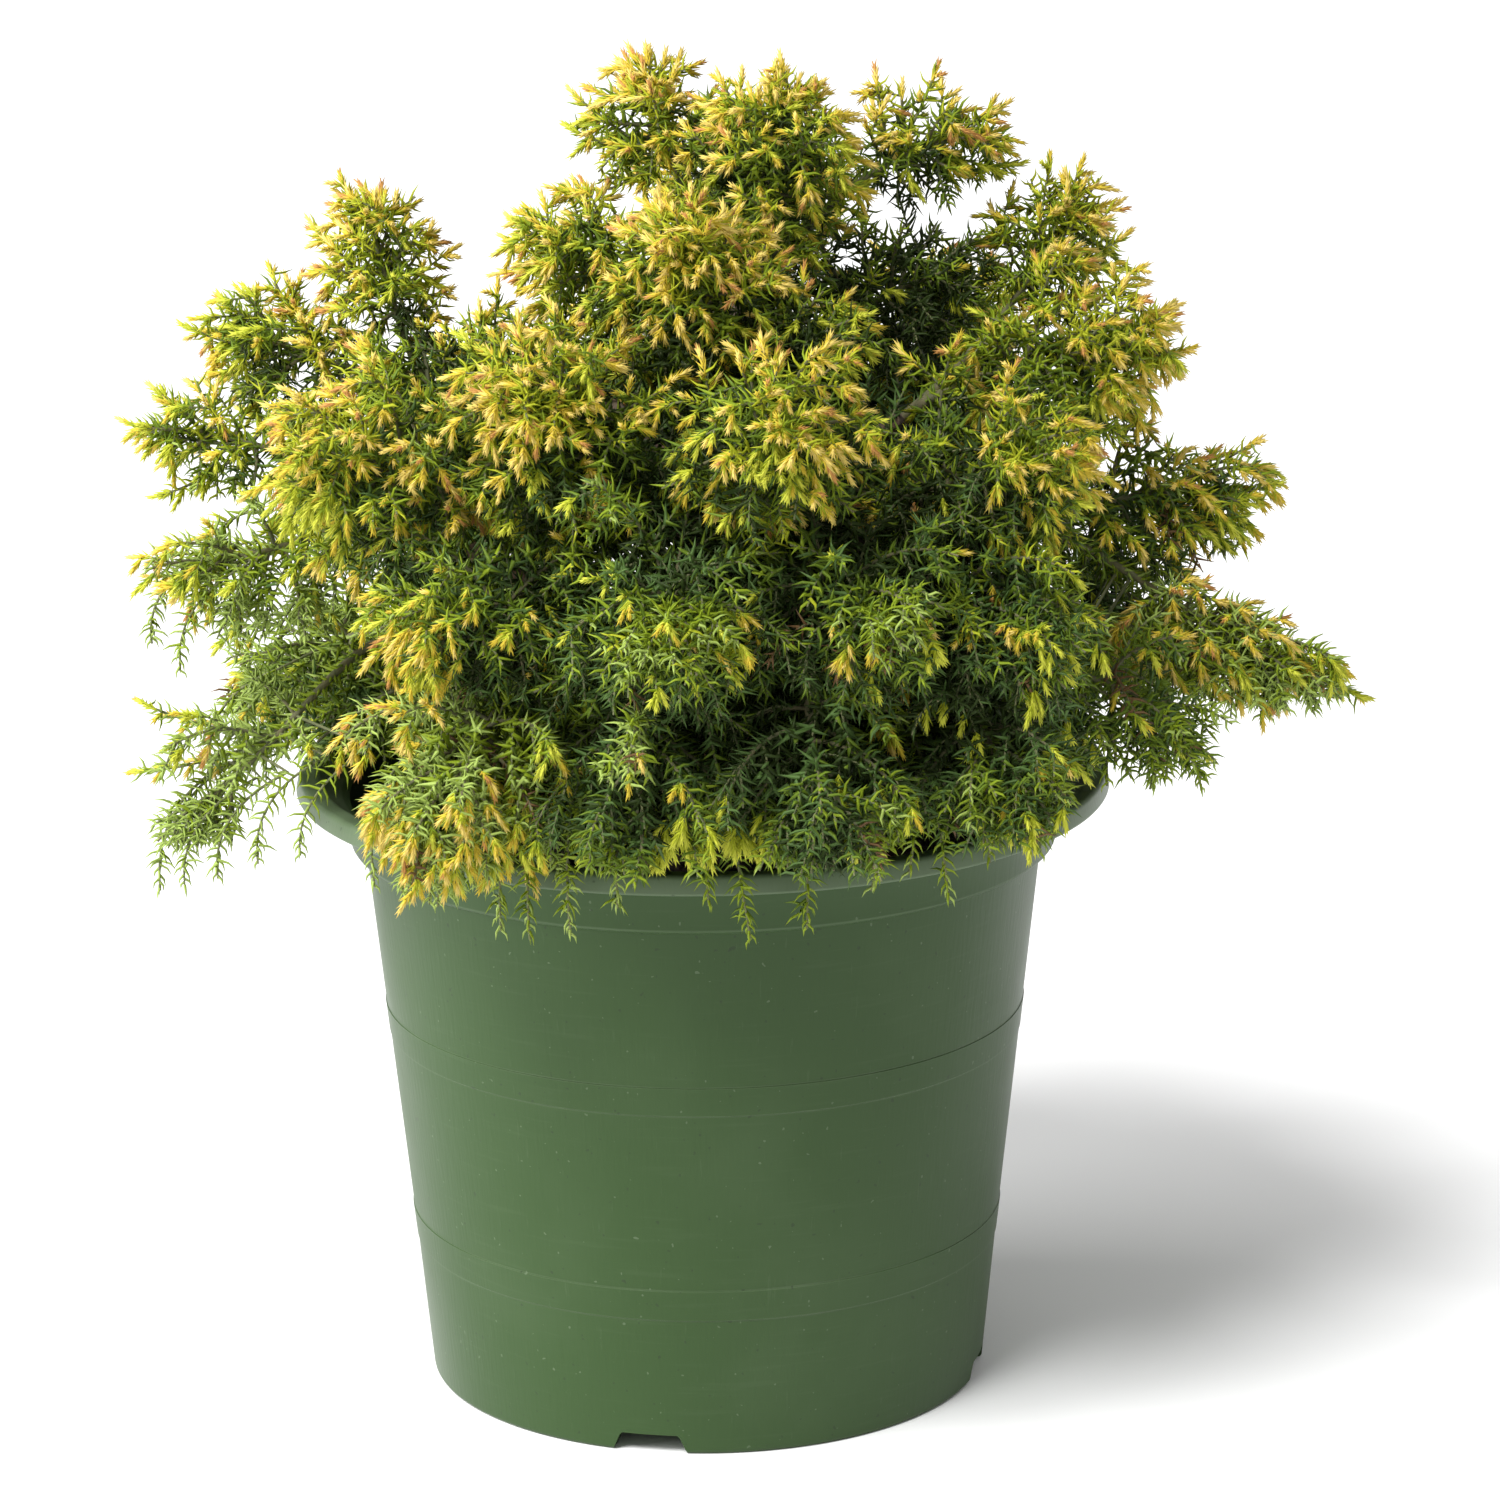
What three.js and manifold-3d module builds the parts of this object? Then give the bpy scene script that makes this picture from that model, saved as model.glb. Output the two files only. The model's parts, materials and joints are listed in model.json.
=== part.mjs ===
// A dwarf Japanese cedar with a rounded, many-headed crown, in its plastic nursery pot.
// Millimetres, +Z up. The origin is the centre of the pot's underside.
// Azimuth 0 points along +X, 90 along +Y (the back) and 270 to the front.

import * as THREE from 'three';
import { mergeVertices } from 'three/addons/utils/BufferGeometryUtils.js';
import Module from 'manifold-3d';

const wasm = await Module();
wasm.setup();

// Pot: a tapering tub with a stacking ring under a rolled lip, and a foot ring round a raised floor
const POT = { sides: 32, height: 216.5, baseRadius: 96.2, slope: 0.1075, wall: 2, floor: 8.5 };
const LIP = { radius: 140, innerRadius: 135, bottom: 210.7, round: 1.2, drop: 4 };
const STACKING_RING = { bottom: 191.3, step: 5, edge: 1.5, shelf: 4.7 };
const BANDS = [[49.7, 60.8], [124.7, 135]];
const BAND_EDGE = { step: 0.5, slant: 0.8 };
const FOOT_RING = { width: 9, slant: 2, bevel: 3, inset: 0.8 };
const FLOOR_PAD = { radius: 46, recess: 6 };
const NOTCHES = { count: 4, azimuth: 258.4, bottomWidth: 24, topWidth: 19, height: 6, depth: 26 };
const DRAIN_HOLES = { radius: 5, reach: 72, sides: 8 };

// Potting mix: level under the trunk and a little lower at the wall
const MIX = { top: 198, rimDrop: 3, levelRadius: 34, clearance: 0.5 };

// Limbs
const TRUNK = {
  foot: [4, 2], head: [20, -4, 404], bend: [-12, 10],
  flareRadius: 16, flareHeight: 22, radius: 9.5, tipRadius: 3, sides: 8, steps: 7,
};
const BOUGH = { rootRadius: 4.4, tipRadius: 3.3, sides: 6, steps: 4, sag: 0.1 };
const STEM = {
  rootRadius: 1.3, tipRadius: 0.9, sides: 3, steps: 5, samples: 40,
  lead: 7, forkHalf: 1.6, lap: 0.6, end: 0.55,
};

// Growth
const TWIG = { count: 9, radius: 1.6, tipRadius: 1.1, spread: 122, jitter: 14, droop: 0.6, shortest: 0.92 };
const TWIG_FEET = { outermost: 0.72, deepest: 0.5 };
const SPRAY = { length: 36, width: 15, widest: 0.38, sunk: 5, least: 0.45, small: 0.85, large: 1.15 };
const NEEDLE = { length: 14, width: 4, angle: 42, back: 2.5 };
const CORE = { share: 0.7, shareLostToDroop: 0.1, lumps: 0.16, fineFrom: 40, least: 3 };
const DROOP = { none: 370, range: 190, least: -0.2, most: 0.7 };
const GOLDEN_ANGLE = 137.508;
const SEED = { first: 101, step: 37 };

// Room between pieces
const GAP = 0.3;
const CUT_ROOM = GAP + 0.05;
const LIMB_CLEARANCE = 1.2;
const POT_CLEARANCE = 1.2;
const SPACE_MARGIN = 0.05;
const REACH_STEP = 2;
const TIDY_TOLERANCE = 0.05;
const CORNERS_APART = 0.002;
const MOST_SEASONS = 8;

// Boughs: name, tip (azimuth, reach from the axis, height) and the height where it leaves the trunk
const BOUGHS = [
  ['left_peak_bough', [176, 84, 340], 296],
  ['left_arm_bough', [189, 96, 306], 262],
  ['left_front_bough', [233, 64, 326], 318],
  ['front_left_bough', [241, 88, 276], 232],
  ['left_low_bough', [186, 96, 262], 221],
  ['front_middle_bough', [265, 90, 286], 252],
  ['front_right_bough', [287, 92, 284], 240],
  ['cushion_bough', [277, 94, 340], 306],
  ['right_peak_bough', [352, 70, 340], 300],
  ['right_front_bough', [311, 84, 312], 272],
  ['right_side_bough', [357, 98, 296], 256],
  ['right_arm_bough', [320, 92, 264], 226],
  ['back_left_bough', [131, 86, 280], 236],
  ['back_middle_bough', [84, 84, 284], 246],
  ['back_right_bough', [38, 88, 284], 268],
  ['back_upper_bough', [128, 64, 340], 312],
];

// Masses of needles: name, heart (azimuth, reach, height), half length and half width of its oval
// space, the way it grows (lift above level, azimuth), and what carries it: a bough, the trunk at
// a height, or the trunk's tip
const MASSES = [
  ['top_left_head', [146, 18, 439], [27, 30], [66, 140], 372],
  ['top_centre_head', [323, 33, 428], [37, 42], [82, 0], 'tip'],
  ['top_right_head', [12, 78, 430], [36, 27], [6, 2], 384],
  ['upper_left_front', [238, 60, 402], [36, 34], [22, 200], 350],
  ['upper_front', [270, 78, 391], [48, 45], [55, 262], 360],
  ['upper_right_front', [291, 77, 376], [38, 36], [12, 320], 340],
  ['inner_right', [10, 70, 380], [37, 35], [20, 12], 352],
  ['back_top', [80, 66, 388], [56, 52], [45, 85], 366],
  ['left_peak', [176, 107, 390], [33, 29], [74, 186], 'left_peak_bough'],
  ['left_shoulder', [172, 142, 358], [35, 31], [30, 170], 'left_peak_bough'],
  ['left_inner', [187, 92, 352], [32, 30], [30, 186], 316],
  ['left_arm', [183, 164, 336], [32, 23], [4, 182], 'left_arm_bough'],
  ['left_side', [197, 153, 300], [42, 31], [2, 190], 'left_arm_bough'],
  ['left_front', [225, 142, 345], [50, 47], [14, 222], 'left_front_bough'],
  ['centre_left', [248, 114, 354], [54, 52], [38, 247], 'left_front_bough'],
  ['front_left', [240, 137, 305], [54, 50], [0, 240], 'front_left_bough'],
  ['front_left_cushion', [242, 161, 254], [50, 48], [-28, 244], 'front_left_bough'],
  ['left_hanging', [198, 159, 228], [44, 42], [-30, 196], 'left_low_bough'],
  ['left_back_side', [165, 135, 250], [49, 41], [-20, 165], 'left_low_bough'],
  ['front_middle', [267, 142, 312], [56, 54], [-8, 267], 'front_middle_bough'],
  ['front_hanging_left', [263, 152, 253], [54, 45], [-60, 262], 'front_middle_bough'],
  ['front_right_middle', [290, 138, 312], [56, 54], [-8, 290], 'front_right_bough'],
  ['front_hanging_right', [284, 156, 252], [53, 45], [-60, 286], 'front_right_bough'],
  ['front_cushion', [280, 136, 360], [46, 44], [20, 278], 'cushion_bough'],
  ['right_peak', [9, 122, 392], [31, 29], [56, 8], 'right_peak_bough'],
  ['right_shoulder', [346, 126, 364], [46, 41], [16, 352], 'right_peak_bough'],
  ['right_front', [315, 131, 340], [49, 48], [8, 316], 'right_front_bough'],
  ['right_lower_front', [308, 142, 298], [54, 52], [-8, 308], 'right_front_bough'],
  ['right_side', [1, 152, 310], [48, 36], [2, 2], 'right_side_bough'],
  ['right_arm', [353, 177, 265], [55, 26], [-20, 354], 'right_side_bough'],
  ['right_hanging', [339, 155, 256], [41, 36], [-28, 338], 'right_arm_bough'],
  ['front_right_low', [306, 156, 258], [43, 42], [-30, 306], 'right_arm_bough'],
  ['back_left', [140, 142, 300], [58, 54], [0, 142], 'back_left_bough'],
  ['back_low_left', [122, 150, 250], [54, 52], [-35, 122], 'back_left_bough'],
  ['back_middle', [96, 132, 318], [58, 54], [8, 94], 'back_middle_bough'],
  ['back_low_right', [74, 150, 252], [54, 52], [-35, 74], 'back_middle_bough'],
  ['back_right', [50, 142, 304], [58, 54], [0, 46], 'back_right_bough'],
  ['right_back_side', [26, 152, 256], [56, 50], [-26, 24], 'back_right_bough'],
  ['back_upper_left', [134, 94, 326], [52, 50], [20, 132], 'back_upper_bough'],
  ['back_upper_right', [44, 108, 342], [54, 50], [22, 40], 330],
];

// Finishes
const FINISH = {
  pot: { color: 0x4b6441, roughness: 0.5 },
  mix: { color: 0x2b211a, roughness: 1 },
  bark: { color: 0x6a4a34, roughness: 0.9 },
};
const NEEDLE_FINISH = { gold: 0xb79a35, green: 0x3c5a2a, greenBelow: 240, goldAbove: 420, roughness: 0.8 };

// Vectors, angles and chance

const radians = THREE.MathUtils.degToRad;
const blend = THREE.MathUtils.lerp;
const UP = new THREE.Vector3(0, 0, 1);
const RIGHT = new THREE.Vector3(1, 0, 0);

function direction(lift, azimuth) {
  const level = Math.cos(radians(lift));
  const turn = radians(azimuth);
  return new THREE.Vector3(level * Math.cos(turn), level * Math.sin(turn), Math.sin(radians(lift)));
}

function place([azimuth, reach, height]) {
  return direction(0, azimuth).multiplyScalar(reach).setZ(height);
}

// Draws between 0 and 1, the same ones for the same seed
function seeded(seed) {
  let state = seed;
  return () => {
    state = (state + 0x6d2b79f5) | 0;
    let mixed = Math.imul(state ^ (state >>> 15), state | 1);
    mixed ^= mixed + Math.imul(mixed ^ (mixed >>> 7), mixed | 61);
    return ((mixed ^ (mixed >>> 14)) >>> 0) / 4294967296;
  };
}

// Two unit vectors square to an axis, the first of them level
function across(axis) {
  const side = new THREE.Vector3().crossVectors(axis, Math.abs(axis.z) > 0.95 ? RIGHT : UP).normalize();
  return [side, new THREE.Vector3().crossVectors(side, axis).normalize()];
}

// The unit vector at an angle to an axis, turned round it
function leaning(axis, angle, turn) {
  const [side, top] = across(axis);
  return axis.clone().multiplyScalar(Math.cos(angle))
    .addScaledVector(side, Math.sin(angle) * Math.cos(turn))
    .addScaledVector(top, Math.sin(angle) * Math.sin(turn));
}

// Closed meshes and solids

function solidOf(geometry) {
  const bare = geometry.clone();
  bare.deleteAttribute('normal');
  bare.deleteAttribute('uv');
  const merged = mergeVertices(bare, 1e-4);
  return new wasm.Manifold(new wasm.Mesh({
    numProp: 3,
    vertProperties: new Float32Array(merged.attributes.position.array),
    triVerts: new Uint32Array(merged.index.array),
  }));
}

function geometryOf(solid) {
  const mesh = solid.getMesh();
  const geometry = new THREE.BufferGeometry();
  geometry.setAttribute('position', new THREE.BufferAttribute(mesh.vertProperties, 3));
  geometry.setIndex(new THREE.BufferAttribute(mesh.triVerts, 1));
  return geometry;
}

// A limb through rings of corners square to its path, with a flat cut at both ends;
// a last radius of 0 brings it to a point
function limbSolid(path, radii, sides) {
  const pointed = radii[radii.length - 1] === 0;
  const last = path.length - 1;
  const rings = pointed ? last : last + 1;
  const points = [];
  const faces = [];
  let [side] = across(path[1].clone().sub(path[0]).normalize());
  for (let ring = 0; ring < rings; ring += 1) {
    const ahead = path[Math.min(ring + 1, last)].clone().sub(path[Math.max(ring - 1, 0)]).normalize();
    side = side.clone().addScaledVector(ahead, -side.dot(ahead)).normalize();
    const top = new THREE.Vector3().crossVectors(ahead, side);
    for (let k = 0; k < sides; k += 1) {
      const turn = (2 * Math.PI * k) / sides;
      points.push(path[ring].clone()
        .addScaledVector(side, radii[ring] * Math.cos(turn))
        .addScaledVector(top, radii[ring] * Math.sin(turn)));
    }
  }
  const corner = (ring, k) => ring * sides + (k % sides);
  for (let ring = 0; ring < rings - 1; ring += 1) {
    for (let k = 0; k < sides; k += 1) {
      faces.push([corner(ring, k), corner(ring, k + 1), corner(ring + 1, k + 1)]);
      faces.push([corner(ring, k), corner(ring + 1, k + 1), corner(ring + 1, k)]);
    }
  }
  const end = rings - 1;
  for (let k = 1; k < sides - 1; k += 1) {
    faces.push([0, k + 1, k]);
    if (!pointed) faces.push([corner(end, 0), corner(end, k), corner(end, k + 1)]);
  }
  if (pointed) {
    points.push(path[last]);
    for (let k = 0; k < sides; k += 1) faces.push([corner(end, k), corner(end, k + 1), points.length - 1]);
  }
  const geometry = new THREE.BufferGeometry().setFromPoints(points);
  geometry.setIndex(faces.flat());
  return solidOf(geometry);
}

function largestBody(solid) {
  return solid.decompose().reduce((best, body) => (body.volume() > best.volume() ? body : best));
}

// True where no two corners lie so close that they would merge into one
function cornersApart(solid) {
  const { vertProperties } = solid.getMesh();
  const places = new Set();
  for (let k = 0; k < vertProperties.length; k += 3) {
    const corner = Array.from(vertProperties.subarray(k, k + 3));
    places.add(corner.map((value) => Math.round(value / CORNERS_APART)).join());
  }
  return places.size === vertProperties.length / 3;
}

// Pot and potting mix

const wallRadius = (height) => POT.baseRadius + POT.slope * height;
const ringRadius = (height) => wallRadius(height) + STACKING_RING.step;

function footOutline() {
  const ringInside = POT.baseRadius - FOOT_RING.width;
  return [
    [0, 0], [FLOOR_PAD.radius, 0], [FLOOR_PAD.radius + FOOT_RING.slant, FLOOR_PAD.recess],
    [ringInside - FOOT_RING.slant, FLOOR_PAD.recess], [ringInside, 0],
    [POT.baseRadius - FOOT_RING.inset, 0], [wallRadius(FOOT_RING.bevel), FOOT_RING.bevel],
  ];
}

// A band stands out from the wall by a hair between two slanted edges
function bandOutline([low, high]) {
  return [
    [wallRadius(low), low], [wallRadius(low) + BAND_EDGE.step, low + BAND_EDGE.slant],
    [wallRadius(high) + BAND_EDGE.step, high - BAND_EDGE.slant], [wallRadius(high), high],
  ];
}

function rimOutline() {
  const { bottom, edge } = STACKING_RING;
  return [
    [wallRadius(bottom), bottom], [ringRadius(bottom), bottom + edge],
    [ringRadius(LIP.bottom), LIP.bottom - LIP.round], [LIP.radius - LIP.round, LIP.bottom],
    [LIP.radius, LIP.bottom + LIP.round], [LIP.radius - LIP.round, POT.height - LIP.round],
    [LIP.radius - 2 * LIP.round, POT.height], [LIP.innerRadius, POT.height - LIP.round],
  ];
}

// The inside, from the lip down the wall to the middle of the floor
function insideOutline() {
  const { bottom } = STACKING_RING;
  return [
    [ringRadius(LIP.bottom) - POT.wall, LIP.bottom - LIP.drop],
    [ringRadius(bottom) - POT.wall, bottom + STACKING_RING.shelf],
    [wallRadius(bottom) - POT.wall, bottom], [wallRadius(POT.floor) - POT.wall, POT.floor],
    [0, POT.floor],
  ];
}

function lathe(outline) {
  const points = outline.map(([radius, height]) => new THREE.Vector2(radius, height));
  return solidOf(new THREE.LatheGeometry(points, POT.sides).rotateX(Math.PI / 2));
}

function notchCutter() {
  const { bottomWidth, topWidth, height, depth } = NOTCHES;
  const [low, high] = [bottomWidth / 2, topWidth / 2];
  const outline = [[-low, -1], [low, -1], [high, height], [-high, height]];
  const shape = new THREE.Shape(outline.map(([x, y]) => new THREE.Vector2(x, y)));
  return new THREE.ExtrudeGeometry(shape, { depth, bevelEnabled: false })
    .rotateX(Math.PI / 2).rotateZ(Math.PI / 2)
    .translate(POT.baseRadius - depth / 2, 0, 0);
}

function drainCutter() {
  const { radius, reach, sides } = DRAIN_HOLES;
  return new THREE.CylinderGeometry(radius, radius, POT.floor * 2, sides)
    .rotateX(Math.PI / 2).translate(reach, 0, POT.floor);
}

function pot() {
  const outline = [...footOutline(), ...BANDS.flatMap(bandOutline), ...rimOutline(), ...insideOutline()];
  let body = lathe(outline);
  for (let k = 0; k < NOTCHES.count; k += 1) {
    const turn = radians(NOTCHES.azimuth + (360 * k) / NOTCHES.count);
    [notchCutter(), drainCutter()].forEach((cutter) => {
      body = body.subtract(solidOf(cutter.rotateZ(turn)));
    });
  }
  return body;
}

function pottingMix() {
  const { top, rimDrop, levelRadius, clearance } = MIX;
  const inside = (height) => wallRadius(height) - POT.wall - clearance;
  const edge = top - rimDrop;
  return lathe([
    [0, POT.floor + GAP], [inside(POT.floor), POT.floor + GAP],
    [inside(STACKING_RING.bottom), STACKING_RING.bottom], [inside(STACKING_RING.bottom), edge],
    [levelRadius, top], [0, top],
  ]);
}

// Trunk and boughs: a limb is kept as its path, the radius at each point of it, and its sides

// The trunk tapers evenly above a flare that widens towards its flat foot
function trunkRadius(height) {
  const share = (height - MIX.top) / (TRUNK.head[2] - MIX.top);
  const flare = Math.max(0, 1 - (height - MIX.top) / TRUNK.flareHeight);
  return blend(TRUNK.radius, TRUNK.tipRadius, share) + (TRUNK.flareRadius - TRUNK.radius) * flare ** 2;
}

// It rises straight from its foot, then leans and bends up to its head
function trunkLimb() {
  const foot = new THREE.Vector3(...TRUNK.foot, MIX.top + GAP);
  const neck = foot.clone().setZ(MIX.top + TRUNK.flareHeight / 3);
  const head = new THREE.Vector3(...TRUNK.head);
  const middle = neck.clone().lerp(head, 0.5).add(new THREE.Vector3(...TRUNK.bend, 0));
  const path = [foot, ...new THREE.QuadraticBezierCurve3(neck, middle, head).getPoints(TRUNK.steps)];
  return { path, radii: path.map((point) => trunkRadius(point.z)), sides: TRUNK.sides };
}

const trunk = trunkLimb();

function trunkPointAt(height) {
  const above = trunk.path.findIndex((point) => point.z >= height);
  const [low, high] = [trunk.path[above - 1], trunk.path[above]];
  return low.clone().lerp(high, (height - low.z) / (high.z - low.z));
}

function taper(path, from, to) {
  return path.map((_, k) => blend(from, to, k / (path.length - 1)));
}

function boughLimb(tip, height) {
  const start = trunkPointAt(height);
  const end = place(tip);
  const middle = start.clone().lerp(end, 0.5);
  middle.z -= BOUGH.sag * start.distanceTo(end);
  const path = new THREE.QuadraticBezierCurve3(start, middle, end).getPoints(BOUGH.steps);
  return { path, radii: taper(path, BOUGH.rootRadius, BOUGH.tipRadius), sides: BOUGH.sides };
}

const boughs = new Map(BOUGHS.map(([name, tip, height]) => [name, boughLimb(tip, height)]));

// A limb's solid, made thicker and longer by the given room
function solidLimb({ path, radii, sides }, room = 0) {
  const longer = path.map((point) => point.clone());
  const last = path.length - 1;
  if (room > 0) longer[last].add(path[last].clone().sub(path[last - 1]).setLength(room));
  return limbSolid(longer, radii.map((radius) => radius + room), sides);
}

function distanceToLimb(point, { path, radii }) {
  const line = new THREE.Line3();
  const foot = new THREE.Vector3();
  const distances = path.slice(1).map((end, k) => {
    line.set(path[k], end);
    line.closestPointToPoint(point, true, foot);
    const share = line.closestPointToPointParameter(point, true);
    return foot.distanceTo(point) - blend(radii[k], radii[k + 1], share);
  });
  return Math.min(...distances);
}

// The space of each mass

function spaceOf([name, heart, size, grows, carrier], index) {
  const droop = THREE.MathUtils.clamp((DROOP.none - heart[2]) / DROOP.range, DROOP.least, DROOP.most);
  const core = CORE.share - CORE.shareLostToDroop * droop;
  const seed = SEED.first + SEED.step * index;
  return { name, size, carrier, seed, core, droop, centre: place(heart), axis: direction(...grows) };
}

const spaces = MASSES.map(spaceOf);

// How far out a point lies in a mass's oval space: 0 at its heart and 1 at its skin
function depthIn(space, point) {
  const offset = point.clone().sub(space.centre);
  const along = offset.dot(space.axis);
  const sideways = Math.sqrt(Math.max(0, offset.lengthSq() - along * along));
  return Math.hypot(along / space.size[0], sideways / space.size[1]);
}

function clearOfPot(point) {
  const reach = Math.hypot(point.x, point.y);
  if (point.z > POT.height + POT_CLEARANCE || reach > LIP.radius + POT_CLEARANCE) return true;
  return reach < wallRadius(MIX.top) && point.z > MIX.top + POT_CLEARANCE;
}

// Where two ovals cross, a point belongs to the mass whose heart is nearer in its own measure
function inOwnSpace(space, point) {
  const own = depthIn(space, point);
  if (own > 1 || !clearOfPot(point)) return false;
  return spaces.every((other) => other === space || depthIn(other, point) > own + SPACE_MARGIN);
}

function reachAlong(space, start, way) {
  let reach = 0;
  while (inOwnSpace(space, start.clone().addScaledVector(way, reach + REACH_STEP))) reach += REACH_STEP;
  return reach;
}

// Stems: each runs from its bough's tip or the trunk through the heart of its mass

function endOf({ path }) {
  const last = path.length - 1;
  return { point: path[last].clone(), way: path[last].clone().sub(path[last - 1]).normalize() };
}

// Two stems that share a bough's tip leave it side by side
function forkOffset(space, way) {
  const partner = spaces.find((other) => other !== space && other.carrier === space.carrier);
  if (!partner) return new THREE.Vector3();
  const apart = space.centre.clone().sub(partner.centre);
  return apart.addScaledVector(way, -apart.dot(way)).setLength(STEM.forkHalf);
}

function stemStart(space) {
  if (typeof space.carrier === 'number') {
    const point = trunkPointAt(space.carrier);
    return { point, way: space.centre.clone().sub(point).normalize() };
  }
  const { point, way } = endOf(space.carrier === 'tip' ? trunk : boughs.get(space.carrier));
  if (space.carrier !== 'tip') point.add(forkOffset(space, way));
  return { point: point.addScaledVector(way, -STEM.lap), way };
}

function stemLimb(space) {
  const { point, way } = stemStart(space);
  const ahead = point.clone().addScaledVector(way, STEM.lead);
  const tip = space.centre.clone().addScaledVector(space.axis, space.size[0] * STEM.end);
  const curve = new THREE.CatmullRomCurve3([point, ahead, space.centre, tip]);
  const path = curve.getPoints(STEM.steps);
  const shares = Array.from({ length: STEM.samples }, (_, k) => k / STEM.samples);
  const inside = shares.find((share) => depthIn(space, curve.getPoint(share)) < TWIG_FEET.deepest);
  return { curve, inside, path, radii: taper(path, STEM.rootRadius, STEM.tipRadius), sides: STEM.sides };
}

const stems = new Map(spaces.map((space) => [space, stemLimb(space)]));

// Twigs and sprays

function needleSolid(foot, way, turn) {
  const tip = foot.clone().addScaledVector(leaning(way, radians(NEEDLE.angle), turn), NEEDLE.length);
  return { tip, solid: limbSolid([foot, tip], [NEEDLE.width / 2, 0], 3) };
}

// A twig that swells into its spray's slim core and ends in a point, with a needle standing out;
// nothing where it would leave the space of its mass or touch a limb
function growShoot(space, foot, way, twigLength, size, limbs) {
  const at = (distance) => foot.clone().addScaledVector(way, distance);
  const widest = twigLength + SPRAY.length * size * SPRAY.widest;
  const end = twigLength + SPRAY.length * size;
  const path = [foot, at(twigLength), at(widest), at(end)];
  const radii = [TWIG.radius, TWIG.tipRadius, (SPRAY.width / 2) * size, 0];
  if (twigLength < 1) [path, radii].forEach((list) => list.splice(1, 1));
  const needle = needleSolid(at(widest - NEEDLE.back), way, radians(GOLDEN_ANGLE) * size);
  const fits = [at(widest), at(end), needle.tip].every((point) => inOwnSpace(space, point)
    && limbs.every((limb) => distanceToLimb(point, limb) > LIMB_CLEARANCE));
  return fits ? [limbSolid(path, radii, 3), needle.solid] : [];
}

// The twigs leave the stem in a spiral, from near its end back towards its root
function growTwig(space, stem, index, random, limbs) {
  const share = (index + 0.5) / TWIG.count;
  const along = blend(TWIG_FEET.outermost, stem.inside, share);
  const foot = stem.curve.getPoint(along);
  const spread = Math.acos(1 - (1 - Math.cos(radians(TWIG.spread))) * share);
  const angle = spread + radians(TWIG.jitter) * (random() - 0.5);
  const way = leaning(stem.curve.getTangent(along), angle, radians(GOLDEN_ANGLE * (index + space.seed)));
  way.z -= space.droop * TWIG.droop;
  way.normalize();
  const reach = reachAlong(space, foot, way) * blend(TWIG.shortest, 1, random());
  const size = Math.min(blend(SPRAY.small, SPRAY.large, random()), reach / SPRAY.length);
  if (size < SPRAY.least) return [];
  return growShoot(space, foot, way, reach - SPRAY.length * size, size, limbs);
}

function growStemTip(space, stem, limbs) {
  const way = stem.curve.getTangent(1);
  const foot = stem.curve.getPoint(1).addScaledVector(way, -SPRAY.sunk);
  const size = Math.min(SPRAY.large, reachAlong(space, foot, way) / SPRAY.length);
  return growShoot(space, foot, way, 0, size, limbs);
}

// A lumpy dense heart that keeps well inside the space of its mass
function growCore(space, random) {
  const shell = new THREE.IcosahedronGeometry(1, space.size[1] > CORE.fineFrom ? 1 : 0);
  shell.deleteAttribute('normal');
  shell.deleteAttribute('uv');
  const merged = mergeVertices(shell, 1e-3);
  const corners = merged.attributes.position;
  const corner = new THREE.Vector3();
  for (let k = 0; k < corners.count; k += 1) {
    corner.fromBufferAttribute(corners, k).normalize();
    const reach = Math.max(CORE.least, reachAlong(space, space.centre, corner));
    const lump = 1 + CORE.lumps * (2 * random() - 1);
    corner.multiplyScalar(reach * space.core * lump).add(space.centre);
    corners.setXYZ(k, corner.x, corner.y, corner.z);
  }
  return solidOf(merged);
}

function isNear(solid, limb) {
  const { min, max } = solid.boundingBox();
  const box = new THREE.Box3(new THREE.Vector3(...min), new THREE.Vector3(...max));
  return box.intersectsBox(new THREE.Box3().setFromPoints(limb.path).expandByScalar(TRUNK.flareRadius));
}

function growMass(space, limbs, random) {
  const stem = stems.get(space);
  const pieces = [solidLimb(stem), growCore(space, random), ...growStemTip(space, stem, limbs)];
  for (let index = 0; index < TWIG.count; index += 1) {
    pieces.push(...growTwig(space, stem, index, random, limbs));
  }
  const grown = wasm.Manifold.union(pieces);
  const cut = limbs.filter((limb) => isNear(grown, limb))
    .reduce((body, limb) => body.subtract(solidLimb(limb, CUT_ROOM)), grown);
  return largestBody(cut).simplify(TIDY_TOLERANCE);
}

// The first growth from the mass's seed in which no two corners meet
function growCleanMass(space) {
  const others = spaces.filter((other) => other !== space).map((other) => stems.get(other));
  const limbs = [trunk, ...boughs.values(), ...others];
  let grown;
  for (let season = 0; season < MOST_SEASONS; season += 1) {
    grown = growMass(space, limbs, seeded(space.seed + season));
    if (cornersApart(grown)) break;
  }
  return grown;
}

// Everything in its place

const plainFinish = (settings) => new THREE.MeshStandardMaterial({ ...settings, metalness: 0 });

function needleFinish(height) {
  const { gold, green, greenBelow, goldAbove, roughness } = NEEDLE_FINISH;
  const share = THREE.MathUtils.smoothstep(height, greenBelow, goldAbove);
  return plainFinish({ color: new THREE.Color(green).lerp(new THREE.Color(gold), share), roughness });
}

const plant = new THREE.Group();

function addPiece(name, solid, material) {
  const mesh = new THREE.Mesh(geometryOf(solid), material);
  mesh.name = name;
  plant.add(mesh);
}

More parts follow.
